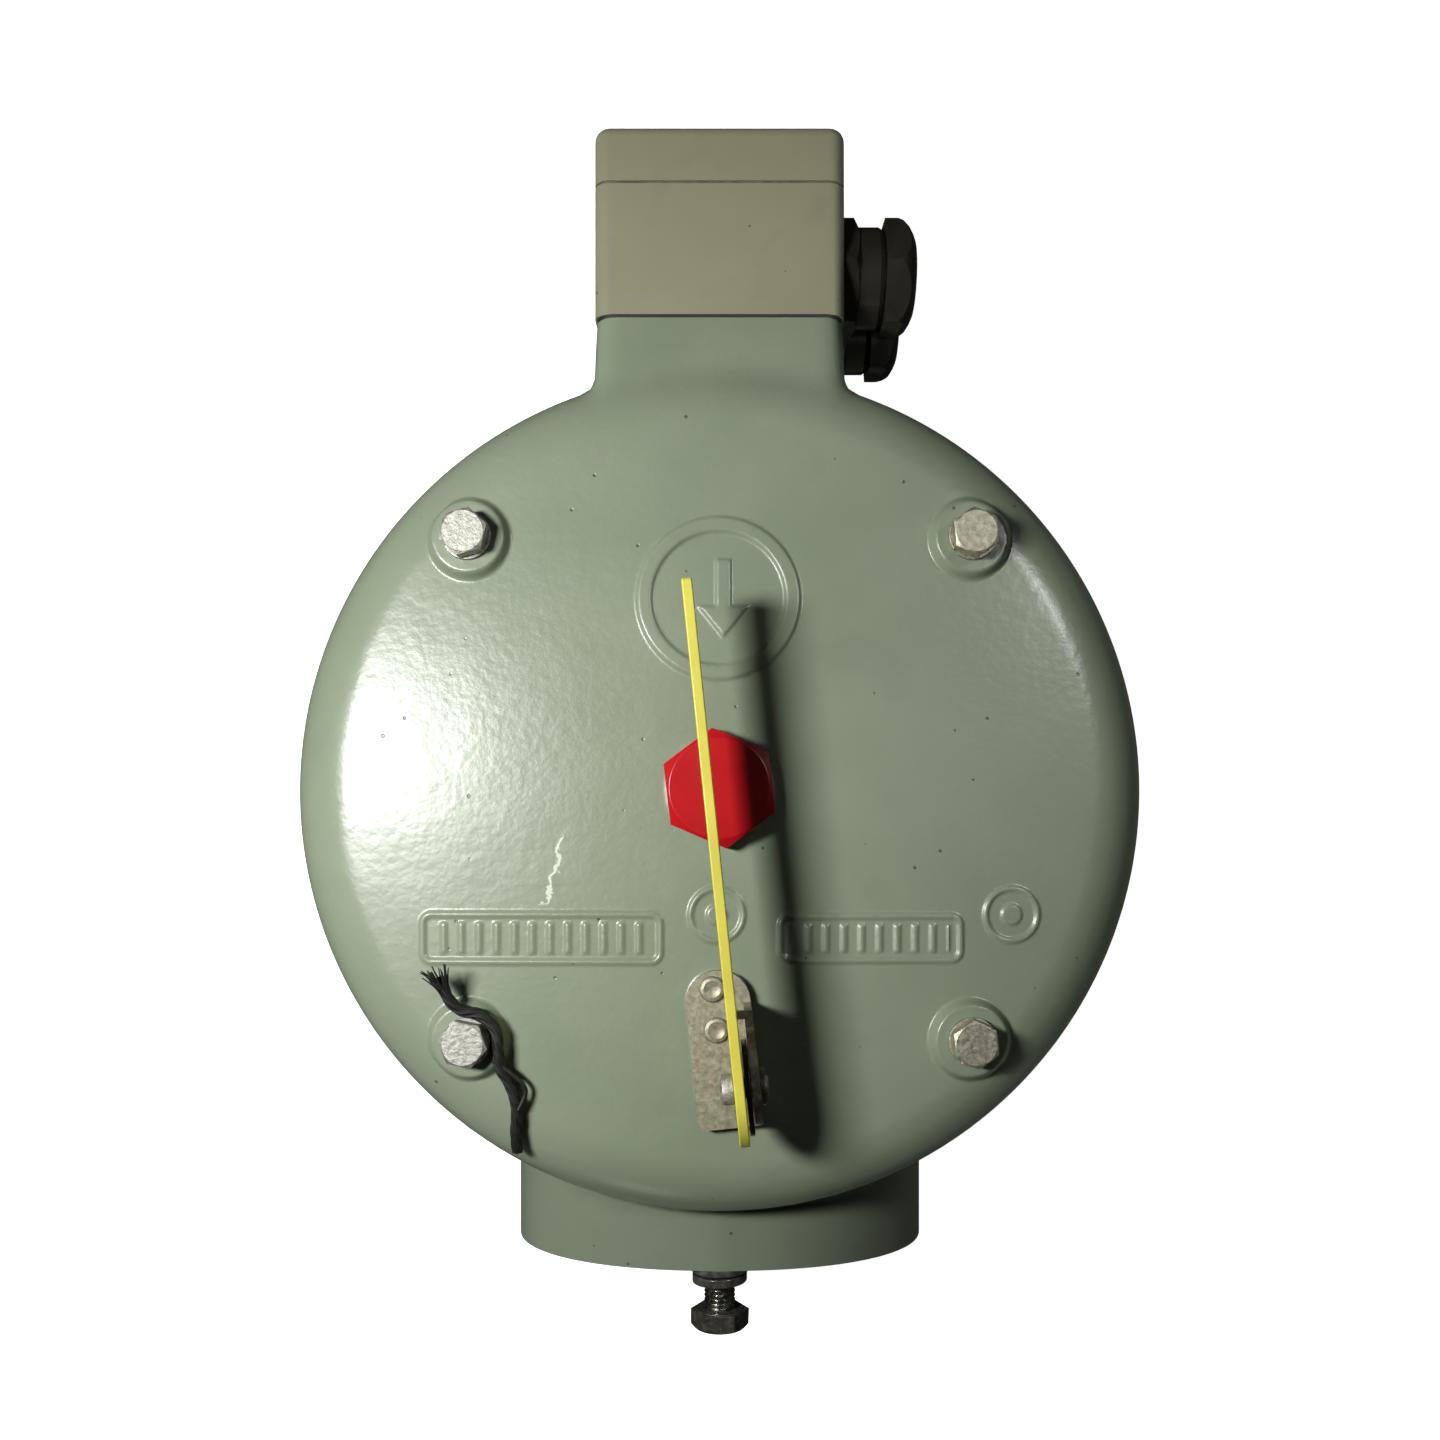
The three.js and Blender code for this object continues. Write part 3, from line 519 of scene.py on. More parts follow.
# raised casting marks: a ring with an arrow, two plain framed fields with bars, and two small rings with dots
marks = {
    "medallion": (-0.3, 58.8), "ringOuter": 25.2, "ringInner": 20.6, "ringHeight": 1.1, "arrowHeight": 0.9,
    "fields": ((-55, -46, 77, 18), (46.6, -46, 59, 17)), "rim": 1.7, "fieldHeight": 0.8,
    "fieldCorner": 4.5, "barPitch": 5.5, "barHalf": 0.9, "barMargin": (5, 4.2),
    "smallRings": ((-0.8, -38.8), (90.3, -38.8)), "smallRadius": 8.1, "smallHeight": 0.8,
    "dotRadius": 3.2, "dotHeight": 0.7, "padRadius": 12, "padSlope": 2.6,
}


def smoothStep(value, low, high):
    t = np.clip((value - low) / (high - low), 0, 1)
    return t * t * (3 - 2 * t)


# Distance outside a rounded rectangle in the plane.
def rectangleDistance(u, v, halfU, halfV, corner):
    du, dv = np.abs(u) - (halfU - corner), np.abs(v) - (halfV - corner)
    return np.hypot(np.maximum(du, 0), np.maximum(dv, 0)) + np.minimum(np.maximum(du, dv), 0) - corner


# Distance outside an oval of the given half sizes, a little squarer than an ellipse.
def ovalDistance(u, v, halfU, halfV, power):
    a, b = np.abs(u) / halfU + 1e-6, np.abs(v) / halfV + 1e-6
    reach = (a ** power + b ** power) ** (1 / power)
    slope = np.hypot((a / reach) ** (power - 1) / halfU, (b / reach) ** (power - 1) / halfV)
    return (reach - 1) / slope


def domeDistance(x, y, z):
    r = np.hypot(x, y)
    flat = hood["flat"] + hood["shoulder"] * hood["crown"] * 2 / hood["flat"]
    centre = hood["top"] - hood["crown"] - hood["shoulder"]
    above = z - centre
    cover = z - (hood["top"] - hood["crown"] * (r / hood["flat"]) ** 2)
    rim = np.hypot(np.maximum(r - hood["flat"], 0), np.maximum(above, 0)) - hood["shoulder"]
    onCover = (above > 0) & ((r - hood["flat"]) < above * (flat - hood["flat"]) / hood["shoulder"])
    side = r - hood["radius"]
    return np.where(onCover, np.maximum(cover, side), np.where(above > 0, rim, side))


def blendDistance(a, b, width):
    h = np.clip(0.5 + 0.5 * (b - a) / width, 0, 1)
    return b + (a - b) * h - width * h * (1 - h)


def castDistance(points):
    x, y, z = points.T
    neckTop = np.minimum(hood["neckHigh"] - hood["neckSlope"] * (y - hood["radius"]), hood["neckMost"])
    neckMiddle, neckTall = (neckTop + hood["neckLow"]) / 2, (neckTop - hood["neckLow"]) / 2
    half = hood["neckHalf"] - hood["neckTaper"] * (y - hood["neckTaperStart"])
    neck = rectangleDistance(x, z - neckMiddle, half, neckTall, hood["neckCorner"])
    neck = np.maximum(neck, hood["neckStart"] - y)
    nozzleMiddle = (hood["nozzleHigh"] + hood["nozzleLow"]) / 2
    nozzleTall = (hood["nozzleHigh"] - hood["nozzleLow"]) / 2
    nozzle = ovalDistance(x, z - nozzleMiddle, hood["nozzleHalf"], nozzleTall, hood["nozzlePower"])
    nozzle = np.maximum(nozzle, y - hood["nozzleStart"])
    boss = np.hypot(x, z - hood["bossHeight"]) - hood["bossRadius"]
    boss = np.maximum(boss, np.maximum(y - hood["bossStart"], hood["bossEnd"] - y))
    nozzle = blendDistance(nozzle, boss, hood["fillet"])
    dome = domeDistance(x, y, z)
    return blendDistance(blendDistance(dome, neck, hood["fillet"]), nozzle, hood["fillet"])


def castNormal(points):
    step = 0.05
    slopes = np.empty_like(points)
    for axis in range(3):
        shift = np.zeros(3)
        shift[axis] = step
        slopes[:, axis] = castDistance(points + shift) - castDistance(points - shift)
    return slopes / np.maximum(np.linalg.norm(slopes, axis=1, keepdims=True), 1e-9)


# Moves points onto the casting's skin, or onto its inner wall at the given depth.
def ontoCast(points, depth=0.0, rounds=5):
    for _ in range(rounds):
        points = points - castNormal(points) * (castDistance(points) + depth)[:, None]
    return points


# Height of the raised casting marks above the plain cover.
def markHeight(x, y):
    rise = np.zeros_like(x)

    def ridge(distance, half, height, soft=0.9):
        nonlocal rise
        rise = np.maximum(rise, height * (1 - smoothStep(np.abs(distance), half - soft / 2, half + soft / 2)))

    def pad(distance, height, soft):
        nonlocal rise
        rise = np.maximum(rise, height * (1 - smoothStep(distance, -soft / 2, soft / 2)))

    mx, my = marks["medallion"]
    around = np.hypot(x - mx, y - my)
    middle, half = (marks["ringOuter"] + marks["ringInner"]) / 2, (marks["ringOuter"] - marks["ringInner"]) / 2
    ridge(around - middle, half, marks["ringHeight"], 1.3)
    u, v = x - mx - 1.5, y - my  # an arrow in the ring points towards the nozzle
    shaft = rectangleDistance(u, v - 4.5, 2.3, 7.5, 0.6)
    tip = np.maximum(-12 - v, np.maximum(v + 2.5, np.abs(u) * 0.78 - (v + 12) * 0.63))
    pad(np.minimum(shaft, tip), marks["arrowHeight"], 1.0)
    for fx, fy, width, tall in marks["fields"]:
        edge = rectangleDistance(x - fx, y - fy, width / 2, tall / 2, marks["fieldCorner"])
        ridge(edge + marks["rim"], marks["rim"] / 2, marks["fieldHeight"])
        bars = np.abs((x - fx + 100 * marks["barPitch"]) % marks["barPitch"] - marks["barPitch"] / 2)
        inX, inY = marks["barMargin"]
        inside = rectangleDistance(x - fx, y - fy, width / 2 - inX, tall / 2 - inY, 1)
        pad(np.maximum(bars - marks["barHalf"], inside), marks["fieldHeight"] * 0.8, 0.8)
    for sx, sy in marks["smallRings"]:
        near = np.hypot(x - sx, y - sy)
        ridge(near - marks["smallRadius"], 0.75, marks["smallHeight"])
        pad(near - marks["dotRadius"], marks["dotHeight"], 0.9)
    for bx, by in boltPlaces:
        near = np.hypot(x - bx, y - by)
        pad(near - marks["padRadius"], bolts["padTop"] - plainHeight(bx, by), marks["padSlope"])
    return rise


# Flat machined seats, given as their height rather than their rise: under the cap and under the arm's bracket.
def seatHeight(x, y, height):
    near = np.hypot(x, y)
    cap = 1 - smoothStep(near, *hood["capSeatEdge"])
    turn = math.radians(armUnit["turn"])
    u = (x - armUnit["x"]) * math.cos(turn) + (y - armUnit["y"]) * math.sin(turn)
    v = -(x - armUnit["x"]) * math.sin(turn) + (y - armUnit["y"]) * math.cos(turn)
    middleU, middleV, halfU, halfV, corner = armUnit["seat"]
    foot = rectangleDistance(u - middleU, v - middleV, halfU, halfV, corner)
    arm = 1 - smoothStep(foot, *armUnit["seatEdge"])
    height = height + (hood["capSeat"] - height) * cap
    return height + (armUnit["base"] - height) * arm


def plainHeight(x, y):
    return hood["top"] - hood["crown"] * (x * x + y * y) / hood["flat"] ** 2


def coverHeight(x, y):
    return seatHeight(x, y, plainHeight(x, y)) + markHeight(x, y)


def buildHood():
    profile = [(0, hood["top"] + 1)] + [(hood["flat"], hood["top"] + 1)]
    for k in range(1, 9):
        angle = math.pi / 2 * (1 - k / 8)
        profile.append((hood["flat"] + hood["shoulder"] * math.cos(angle),
                        hood["top"] - hood["shoulder"] + hood["shoulder"] * math.sin(angle)))
    blank = turned(profile + [(hood["radius"], 10), (0, 10)], 128)
    neck = block((-39.5, 39.5), (40, 162), (hood["neckLow"], hood["neckHigh"]))
    bevelled(neck, longEdges(neck), hood["neckCorner"])
    nozzle = block((-hood["nozzleHalf"], hood["nozzleHalf"]), (-168, -40), (hood["nozzleLow"], hood["nozzleHigh"]))
    bevelled(nozzle, longEdges(nozzle), hood["nozzleCorner"], 8)
    skin = meshObject(combined(blank, neck, nozzle), "skin")
    remesh = skin.modifiers.new("remesh", "REMESH")
    remesh.mode, remesh.voxel_size, remesh.adaptivity = "VOXEL", hood["voxel"], 0
    bakeModifiers(skin)
    bm = bmesh.new()
    bm.from_mesh(skin.data)
    removed(skin)
    bm.verts.ensure_lookup_table()
    places = np.array([v.co for v in bm.verts])
    for v, place in zip(bm.verts, ontoCast(places)):
        v.co = place
    # open the bottom, the neck and the nozzle's mouth
    for point, normal in (((0, 0, hood["bottom"]), (0, 0, -1)), ((0, hood["neckEnd"], 0), (0, 1, 0)),
                          ((0, hood["nozzleEnd"], 0), (0, -1, 0))):
        bmesh.ops.bisect_plane(bm, geom=bm.verts[:] + bm.edges[:] + bm.faces[:], dist=0.3, plane_co=point,
                               plane_no=normal, clear_outer=True)
    inner = bm.copy()
    # finer faces where the cover carries its marks, pads and seats
    for cuts in (2, 1):
        onTop = [f for f in bm.faces if f.normal.z > 0.9 and f.calc_center_median().z > 149]
        middles = np.array([f.calc_center_median() for f in onTop])
        x, y, reach = middles[:, 0], middles[:, 1], hood["voxel"] * 0.85
        rises = [coverHeight(x + dx * reach, y + dy * reach) - plainHeight(x + dx * reach, y + dy * reach)
                 for dx in (-1, 0, 1) for dy in (-1, 0, 1)]
        busy = (np.max(rises, axis=0) - np.min(rises, axis=0) > 0.08) & (np.hypot(x, y) < 125)
        for fx, fy, width, tall in marks["fields"]:
            busy |= rectangleDistance(x - fx, y - fy, width / 2 + 1.5, tall / 2 + 1.5, 4) < 0
        chosen = {edge for face, isBusy in zip(onTop, busy) if isBusy for edge in face.edges}
        bmesh.ops.subdivide_edges(bm, edges=list(chosen), cuts=cuts, use_grid_fill=True)
    bmesh.ops.remove_doubles(bm, verts=bm.verts, dist=0.01)
    bm.verts.ensure_lookup_table()
    places = np.array([v.co for v in bm.verts])
    cover = (places[:, 2] > 149.5) & (np.hypot(places[:, 0], places[:, 1]) < hood["flat"] + 8)
    onCover = ontoCast(places[cover])
    x, y = onCover[:, 0], onCover[:, 1]
    onCover[:, 2] += coverHeight(x, y) - plainHeight(x, y)
    places[cover] = onCover
    for v, place in zip(bm.verts, places):
        v.co = place
    made = finishHood(bm, inner)
    print("hood", len(made.data.polygons), "faces")


# Lays the inner wall inside the skin and closes the three openings' rims between them.
def finishHood(bm, inner):
    inner.verts.ensure_lookup_table()
    places = np.array([v.co for v in inner.verts])
    deep = ontoCast(places, hood["wall"], 8)
    rims = [v.is_boundary for v in inner.verts]
    for v, place, before, onRim in zip(inner.verts, deep, places, rims):
        v.co = place
        if onRim and before[1] > hood["neckEnd"] - 1:  # the openings' rims stay in their planes
            v.co.y = hood["neckEnd"]
        elif onRim and before[1] < hood["nozzleEnd"] + 1:
            v.co.y = hood["nozzleEnd"]
        elif onRim:
            v.co.z = hood["bottom"]
    bmesh.ops.reverse_faces(inner, faces=inner.faces)
    mesh = bpy.data.meshes.new("inner")
    inner.to_mesh(mesh)
    inner.free()
    bm.from_mesh(mesh)
    bpy.data.meshes.remove(mesh)
    for zone in (lambda c: c.y > hood["neckEnd"] - 1, lambda c: c.y < hood["nozzleEnd"] + 1,
                 lambda c: c.z < hood["bottom"] + 1):
        rim = [e for e in bm.edges if e.is_boundary and zone((e.verts[0].co + e.verts[1].co) / 2)]
        bmesh.ops.bridge_loops(bm, edges=rim)
    return piece(bm, "hoodCasting", "housing", castPaint, ["hood"], sharp=60)


buildHood()


# Zinc-plated M8 bolts with split spring washers hold the cover's pads.
def buildBolts():
    low = bolts["padTop"] + bolts["washer"]
    for k, (x, y) in enumerate(boltPlaces):
        look = (dullZinc, zincPlate, zincPlate, dullZinc)[k]
        head = hexHead(bolts["flats"], low, low + bolts["head"], bolts["turn"][k])
        bolt = combined(head, rod(bolts["shank"], 137, low + 1))
        piece(placed(bolt, shifted(x, y)), f"coverBolt{k + 1}", "housing", look,
              [f"hood_bolt_{k + 1}"], sharp=20, edge=0.25)
        under, over = bolts["padTop"] + 0.02, low - 0.43
        washer = coil([(4.6, under), (7.5, under), (7.5, over), (4.6, over)], 346, 0.4, 60, bolts["split"][k])
        piece(placed(washer, shifted(x, y)), f"coverSpringWasher{k + 1}", "housing", look,
              [f"spring_washer_{k + 1}"], edge=0.25)
    print("cover bolts ready")


# The red cap on the signal pin, and the pin down to the disc.
cap = {"flats": 32, "low": 155.5, "high": 163, "turn": 36.7, "pin": 5}


def buildSignalPin():
    blank = hexHead(cap["flats"], cap["low"], cap["high"], cap["turn"])
    hollow = rod(cap["pin"] + 0.3, cap["low"] - 1, 160)
    piece(combined(blank, hollow, operation="DIFFERENCE"), "signalCap", "indicator", redCap,
          ["indicator_cap"], sharp=20, edge=0.8)
    pin = turned([(0, 38.3), (11.5, 38.3), (12, 38.8), (12, 40.5), (11.5, 41), (cap["pin"], 41),
                  (cap["pin"], 159), (cap["pin"] - 0.7, 159.7), (0, 159.7)])
    piece(pin, "signalPin", "indicator", stainless, ["signal_pin"])
    print("signal pin ready")


# Switch box and lid of die-cast aluminium, painted; the lid is held by four sunk screws.
box = {"half": 40, "low": 54, "high": 142, "corner": 5, "start": 151.2, "end": 193, "wall": 5, "lidStart": 193.9,
       "top": 212, "lidEdge": 4, "screwX": 31, "screwZ": 35, "screwLow": 208.5}


def endFace(bm, y):
    return min(bm.faces, key=lambda f: abs(f.calc_center_median().y - y) + (1 - abs(f.normal.y)) * 1000)


def hollowed(bm, y, wall, depth):
    face = endFace(bm, y)
    bmesh.ops.inset_region(bm, faces=[face], thickness=wall, use_even_offset=True)
    floor = endFace(bm, y)
    grown = bmesh.ops.extrude_discrete_faces(bm, faces=[floor])["faces"]
    bmesh.ops.translate(bm, vec=(0, depth, 0), verts=grown[0].verts)
    return bm


def buildBox():
    middle = (box["low"] + box["high"]) / 2
    body = block((-box["half"], box["half"]), (box["start"], box["end"]), (box["low"], box["high"]))
    bevelled(body, longEdges(body), box["corner"], 6)
    hollowed(body, box["end"], box["wall"], box["start"] + box["wall"] - box["end"])
    piece(body, "switchBox", "housing", boxPaint, ["terminal_box"], edge=0.7)
    lid = block((-box["half"], box["half"]), (box["lidStart"], box["top"]), (box["low"], box["high"]))
    bevelled(lid, longEdges(lid), box["corner"], 6)
    crown = endFace(lid, box["top"])
    bevelled(lid, list(crown.edges), box["lidEdge"], 6)
    places = [(sx * box["screwX"], middle + sz * box["screwZ"]) for sx, sz in ((1, 1), (-1, 1), (-1, -1), (1, -1))]
    sinks = [placed(rod(4.5, box["screwLow"], 213), shifted(x, 0, z) @ alongPlusY) for x, z in places]
    lid = combined(lid, *sinks, operation="DIFFERENCE")
    piece(lid, "switchBoxLid", "housing", boxPaint, ["terminal_box_lid"], edge=0.5)
    for k, (x, z) in enumerate(places):
        head = turned([(0, 181), (2.1, 181), (2.1, 208.5), (4, 208.5), (4, 210.6), (3.5, 211.3), (0, 211.5)], 40)
        socket = hexBlank(2.6, 209.4, 213)
        screw = combined(head, socket, operation="DIFFERENCE")
        placed(screw, shifted(x, 0, z) @ alongPlusY)
        piece(screw, f"lidScrew{k + 1}", "housing", zincPlate, [f"lid_screw_{k + 1}"])
    print("switch box ready")


# The rubber between neck and box stands just proud of the box's face.
seam = {"half": 39.3, "low": 52.6, "high": 142.6, "corner": 6, "start": 150.05, "end": 151.15, "opening": 6}


def buildSeam():
    middle = (seam["low"] + seam["high"]) / 2
    outline = [(sx * seam["half"], middle + sz * (seam["high"] - middle), seam["corner"])
               for sx, sz in ((-1, -1), (1, -1), (1, 1), (-1, 1))]
    inside = [(math.copysign(abs(x) - seam["opening"], x), z + math.copysign(seam["opening"], middle - z), 3)
              for x, z, corner in outline]
    rubber = combined(plate(outline, seam["start"], seam["end"]), plate(inside, 149, 153), operation="DIFFERENCE")
    placed(rubber, Matrix(((1, 0, 0, 0), (0, 0, 1, 0), (0, 1, 0, 0), (0, 0, 0, 1))))
    piece(cleaned(rubber), "boxGasket", "housing", nitrile, ["box_gasket"])


# Two cable glands of black polyamide with rubber blanks.
gland = {"y": 172.1, "heights": (119, 77), "flats": 33, "wall": 40.3, "shoulder": 45.9, "waist": 53.8, "end": 64.4,
         "turn": 4}


def buildGlands():
    for k, z in enumerate(gland["heights"]):
        onWall = shifted(0, gland["y"], z) @ alongX
        foot = hexHead(gland["flats"], gland["wall"], gland["shoulder"], gland["turn"])
        waist = turned([(8, 30.5), (12, 30.5), (12, gland["wall"] + 1), (16, gland["wall"] + 1),
                        (16, gland["waist"] - 1.5), (15, gland["waist"]), (11, gland["waist"]), (11, 58), (8, 58)],
                       64, closed=True)
        body = combined(combined(foot, rod(8, 30, 60), operation="DIFFERENCE"), waist)
        piece(placed(body, onWall), f"glandBody{k + 1}", "housing", blackNylon, [f"gland_body_{k + 1}"],
              edge=0.5)
        dome = turned([(8.5, 53), (18.4, 53), (19.05, 54.1), (19.05, 58.5), (18.2, 60.4), (16.6, 62.2),
                       (14.4, 63.6), (12.5, gland["end"]), (8.5, gland["end"])], 72, closed=True)
        nut = hexBlank(gland["flats"], gland["waist"] + 0.3, gland["end"], gland["turn"])
        nut = combined(nut, dome, operation="INTERSECT")
        nut = combined(nut, rod(11.4, 50, 59), operation="DIFFERENCE")
        piece(placed(nut, onWall), f"glandNut{k + 1}", "housing", blackNylon, [f"gland_nut_{k + 1}"],
              edge=0.6)
        plug = turned([(0, 58.5), (8.2, 58.5), (8.2, 62.3), (7.6, 62.9), (5.4, 62.9), (4.8, 62.2), (0, 62.0)])
        piece(placed(plug, onWall), f"glandPlug{k + 1}", "housing", nitrile, [f"gland_plug_{k + 1}"])
    print("glands ready")


# The signal arm, its bracket and its hinge, in the bracket's own turned frame.
arm = {"left": 2.6, "right": 5.6, "low": 22.8, "high": 38.8, "end": 138.6, "pivotY": -7.5, "pivotZ": 21,
       "hole": 3.3, "edge": 0.45}
rivets = ((-1.2, 20), (-1.2, 7.4))
fromYZ = Matrix(((0, 0, 1, 0), (1, 0, 0, 0), (0, 1, 0, 0), (0, 0, 0, 1)))  # an outline in Y and Z, thick along X


def buildArm():
    unit = shifted(armUnit["x"], armUnit["y"], armUnit["base"]) @ turnedBy(armUnit["turn"])
    pivot = shifted(0, arm["pivotY"], arm["pivotZ"]) @ alongX
    lever = plate([(arm["end"], arm["low"], 1), (arm["end"], arm["high"], 1), (-24, arm["high"], 15.9),
                   (-24, 6.8, 15.9), (5, 6.8, 9), (11, arm["low"], 3)], arm["left"], arm["right"], 12)
    lever = combined(placed(lever, fromYZ), placed(rod(arm["hole"], 0, 9), pivot), operation="DIFFERENCE")
    piece(placed(lever, unit), "signalArm", "arm", yellowPaint, ["signal_arm"], edge=arm["edge"])

    foot = plate([(-9.7, -23, 2.2), (10.1, -23, 1), (10.1, 25.5, 9.8), (-9.7, 25.5, 9.8)], 0.3, 2.8, 12)
    lug = placed(plate([(-20, 0.4, 0), (15, 0.4, 0), (15, 22.5, 0.6), (9, 22.5, 3), (4, 30.4, 8), (-17, 30.4, 9),
                        (-20, 10, 3)], 7.7, 10.1), fromYZ)
    rest = block((2.6, 10), (12.6, 15), (20, 22.5))
    bracket = combined(foot, lug, rest)
    drills = [placed(rod(1.9, -1, 5), shifted(x, y)) for x, y in rivets]
    drills += [placed(rod(1.4, -1, 5), shifted(0.2, -13.7)), placed(rod(arm["hole"], 5, 15), pivot)]
    bracket = combined(bracket, *drills, operation="DIFFERENCE")
    piece(placed(bracket, unit), "armBracket", "housing", sheetAluminium, ["arm_bracket"], edge=0.35)
    for k, (x, y) in enumerate(rivets):
        rivet = turned([(0, -5), (1.6, -5), (1.6, 3), (4, 3), (4, 3.5), (3.5, 4.1), (2.6, 4.3), (2, 4.0), (0, 3.8)])
        piece(placed(rivet, unit @ shifted(x, y)), f"bracketRivet{k + 1}", "housing", sheetAluminium,
              [f"bracket_rivet_{k + 1}"])

    disc = ringOf(arm["hole"], 14, 5.9, 7.4, 64)
    piece(placed(disc, unit @ pivot), "frictionDisc", "housing", blackNylon, ["friction_disc"], edge=0.3)
    pin = turned([(0, -1.6), (3.4, -1.6), (4.4, -0.9), (4.6, 0), (4.6, 2.3), (3, 2.3), (3, 12.2), (2.6, 12.6),
                  (0, 12.6)])
    piece(placed(pin, unit @ pivot), "hingePin", "housing", zincPlate, ["hinge_pin"])
    clip = coil([(3.3, 10.4), (5.5, 10.4), (5.5, 11.6), (3.3, 11.6)], 330, 0, 48, 20)
    piece(placed(clip, unit @ pivot), "hingeClip", "housing", springSteel, ["hinge_clip"], edge=0.15)
    print("signal arm ready")


# The M10 earthing screw under the nozzle, with a flat and a spring washer.
earth = {"z": 117, "face": 158, "washer": 2.2, "washerOuter": 10, "chamfer": 0.4, "springInner": 5.4,
         "springOuter": 9.2, "springTall": 2.9, "springRise": 1.2, "threadStart": 147, "root": 4.35, "crest": 5.2,
         "pitch": 1.5, "bearing": 173, "end": 179.4, "flats": 17}


def buildEarth():
    place = shifted(0, 0, earth["z"]) @ alongMinusY
    washerEnd = earth["face"] + earth["washer"]
    outer, chamfer = earth["washerOuter"], earth["chamfer"]
    flat = turned([(5.3, earth["face"]), (outer - chamfer, earth["face"]), (outer, earth["face"] + chamfer),
                   (outer, washerEnd - chamfer), (outer - chamfer, washerEnd), (5.3, washerEnd)], 64, closed=True)
    piece(placed(flat, place), "earthFlatWasher", "housing", springSteel, ["earth_flat_washer"])
    springEnd = washerEnd + earth["springTall"]
    spring = coil([(earth["springInner"], washerEnd), (earth["springOuter"], washerEnd),
                   (earth["springOuter"], springEnd), (earth["springInner"], springEnd)], 340, earth["springRise"],
                  60, 205)
    piece(placed(spring, place), "earthSpringWasher", "housing", springSteel, ["earth_spring_washer"],
          edge=0.4)
    root, crest, pitch = earth["root"], earth["crest"], earth["pitch"]
    thread = [(0, earth["threadStart"] - 1)]
    for k in range(int((earth["bearing"] - earth["threadStart"]) / pitch) + 1):
        z = earth["threadStart"] + k * pitch
        thread += [(root, z), (crest, z + pitch * 0.42), (crest, z + pitch * 0.58)]
    thread += [(root, earth["bearing"] + 0.2), (root, earth["bearing"] + 1), (0, earth["bearing"] + 1)]
    shank = turned(thread, 48)
    piece(placed(shank, place), "earthThread", "housing", stainless, sharp=50)
    head = hexHead(earth["flats"], earth["bearing"], earth["end"], 0)
    piece(placed(head, place), "earthScrewHead", "housing", darkSteel, ["earth_screw"], sharp=20, edge=0.3)
    print("earthing screw ready")


# The valve inside: flange, disc and two springs that shorten as the disc lifts.
valve = {"wireOuter": 4, "wireInner": 3, "meanOuter": 46, "meanInner": 29, "turnsOuter": 4.25, "turnsInner": 6.25,
         "low": 32.3, "high": 111.7}


def buildValve():
    flange = turned([(55, 0), (80, 0), (80, 4), (88, 4), (88, 0), (135, 0), (136, 1), (136, 19), (135, 20), (66, 20),
                     (66, 26), (63, 26), (63, 24), (58, 24), (58, 26), (56, 26), (55, 25)], 144, closed=True)
    drills = []
    for k in range(6):
        angle = math.radians(60 * k)
        drills.append(placed(rod(7.5, -1, 21, 40), shifted(117.5 * math.cos(angle), 117.5 * math.sin(angle))))
    flange = combined(flange, *drills, operation="DIFFERENCE")
    piece(flange, "tankFlange", "housing", castPaint, ["base_flange"])
    disc = turned([(0, 26.9), (74, 26.9), (74, 22), (78, 22), (78, 31), (77, 32), (38, 32), (38, 36), (34.5, 36),
                   (34.5, 32), (14, 32), (14, 37), (13, 38), (0, 38)], 128)
    piece(disc, "valveDisc", "valve", machinedAluminium, ["valve_disc"])
    for name, mean, wire, turns in (("outer", valve["meanOuter"], valve["wireOuter"], valve["turnsOuter"]),
                                    ("inner", valve["meanInner"], valve["wireInner"], valve["turnsInner"])):
        low, high = valve["low"] + wire, valve["high"] - wire
        outline = [(mean + wire * math.cos(math.tau * k / 14), low + wire * math.sin(math.tau * k / 14))
                   for k in range(14)]
        wound = coil(outline, 360 * turns, high - low, int(turns * 40))
        made = piece(wound, f"{name}Spring", "housing", springSteel, [f"{name}_spring"], sharp=60)
        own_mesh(made)
    print("valve ready")


# Inner pieces that keep their shape from the model, with their real finishes.
keptFinishes = {
    "spring_bridge": dullZinc, "pin_guide_bush": brassBush, "terminal_block": creamPlastic,
    "switch_bracket": zincPlate, "limit_switch": blackNylon, "switch_lever": stainless, "pin_oring": nitrile,
    "tank_gasket": nitrile, "seat_gasket": nitrile, "side_seal": nitrile, "hood_gasket": nitrile,
    "lid_gasket": grimyRubber,
    **{f"{name}_{k}": dullZinc for name in ("column", "standoff") for k in range(1, 5)},
}
buildBolts()
buildSignalPin()
buildBox()
buildSeam()
buildGlands()
buildArm()
buildEarth()
buildValve()
for name, look in keptFinishes.items():
    for k in range(len(nodes[name].material_slots)):
        nodes[name].material_slots[k].material = look
print("kept pieces finished")

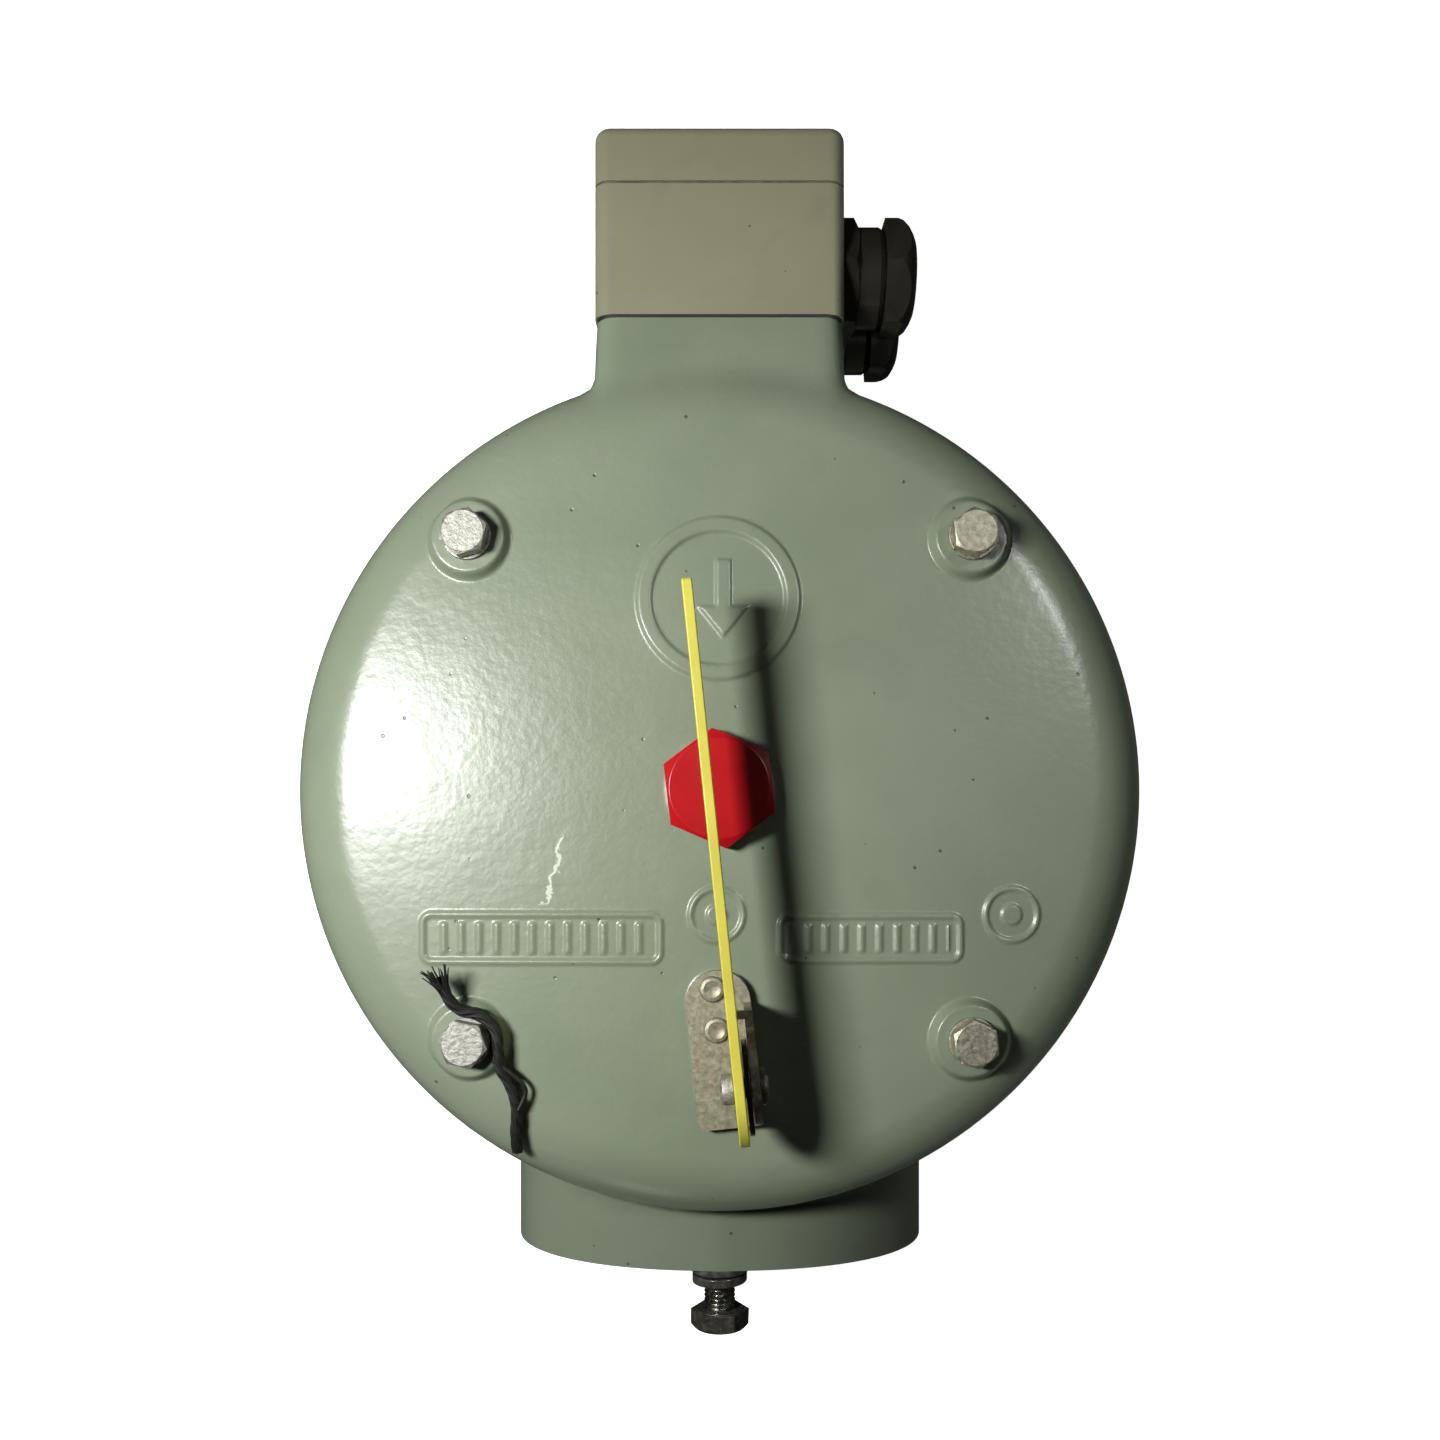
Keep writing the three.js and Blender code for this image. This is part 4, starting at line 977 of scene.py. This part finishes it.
# Each lamp's place, aim, size and power, and whether it lights surfaces and shows in reflections: a strong lamp to
# the left, a faint one to the right with its gleam on the shoulder, a glint on the earthing screw, and one below.
lamps = {
    "lamp": ((-0.27, 0.045, 0.555), (-0.02, 0, 0.15), (0.07, 0.13), 3.3, True, True),
    "fill": ((0.34, 0.21, 0.57), (0.1, 0.06, 0.15), (0.03, 0.09), 0.12, True, True),
    "gleam": ((0.34, 0.21, 0.57), (0.1, 0.06, 0.15), (0.03, 0.09), 0.85, False, True),
    "glint": ((-0.12, -0.6, 0.17), (0, -0.17, 0.117), (0.1, 0.1), 0.07, False, True),
    "under": ((0, 0, -0.9), (0, 0, 0), (1.5, 1.5), 2, True, False),
}
sides = {"count": 4, "reach": 1.1, "height": -0.28, "aim": (0, 0, 0.07), "size": (0.7, 0.5), "power": 3}
for k in range(sides["count"]):  # low lamps round the sides, under the level of the cover
    angle = math.tau * (k + 0.5) / sides["count"]
    place = (sides["reach"] * math.cos(angle), sides["reach"] * math.sin(angle), sides["height"])
    lamps[f"side{k + 1}"] = (place, sides["aim"], sides["size"], sides["power"], True, False)
room = {"colour": "#eef0f2", "strength": 0.012, "floorSize": 3, "floorHeight": -0.002}


def areaLight(name, place, aim, size, power, lights, shines):
    data = bpy.data.lights.new(name, "AREA")
    data.shape, data.size, data.size_y, data.energy = "RECTANGLE", size[0], size[1], power
    made = bpy.data.objects.new(name, data)
    made.location = place
    made.rotation_euler = (Vector(aim) - Vector(place)).to_track_quat("-Z", "Y").to_euler()
    made.visible_diffuse, made.visible_glossy = lights, shines
    scene.collection.objects.link(made)


def buildStudio():
    floor = bmesh.new()
    bmesh.ops.create_grid(floor, x_segments=1, y_segments=1, size=room["floorSize"])
    floor = meshObject(placed(floor, shifted(z=room["floorHeight"])), "floor")
    paper = startMaterial("white paper", {
        "Base Color": white, "Roughness": 0.9, "Emission Color": white, "Emission Strength": 1.0,
    })[0]
    floor.data.materials.append(paper)
    floor.visible_diffuse = floor.visible_glossy = floor.visible_shadow = floor.visible_transmission = False
    for name, settings in lamps.items():
        areaLight(name, *settings)
    world = bpy.data.worlds.new("room")
    world.use_nodes = True
    tree = world.node_tree  # a white wall to the camera, and a dim room to everything else
    dim = tree.nodes["Background"]
    dim.inputs["Color"].default_value = linear(room["colour"])
    dim.inputs["Strength"].default_value = room["strength"]
    wall = addNode(tree, "ShaderNodeBackground", {"Color": white, "Strength": 1.0})
    seen = addNode(tree, "ShaderNodeLightPath").outputs["Is Camera Ray"]
    both = addNode(tree, "ShaderNodeMixShader", {0: seen, 1: dim.outputs[0], 2: wall.outputs[0]})
    tree.links.new(both.outputs[0], tree.nodes["World Output"].inputs["Surface"])
    scene.world = world


buildStudio()
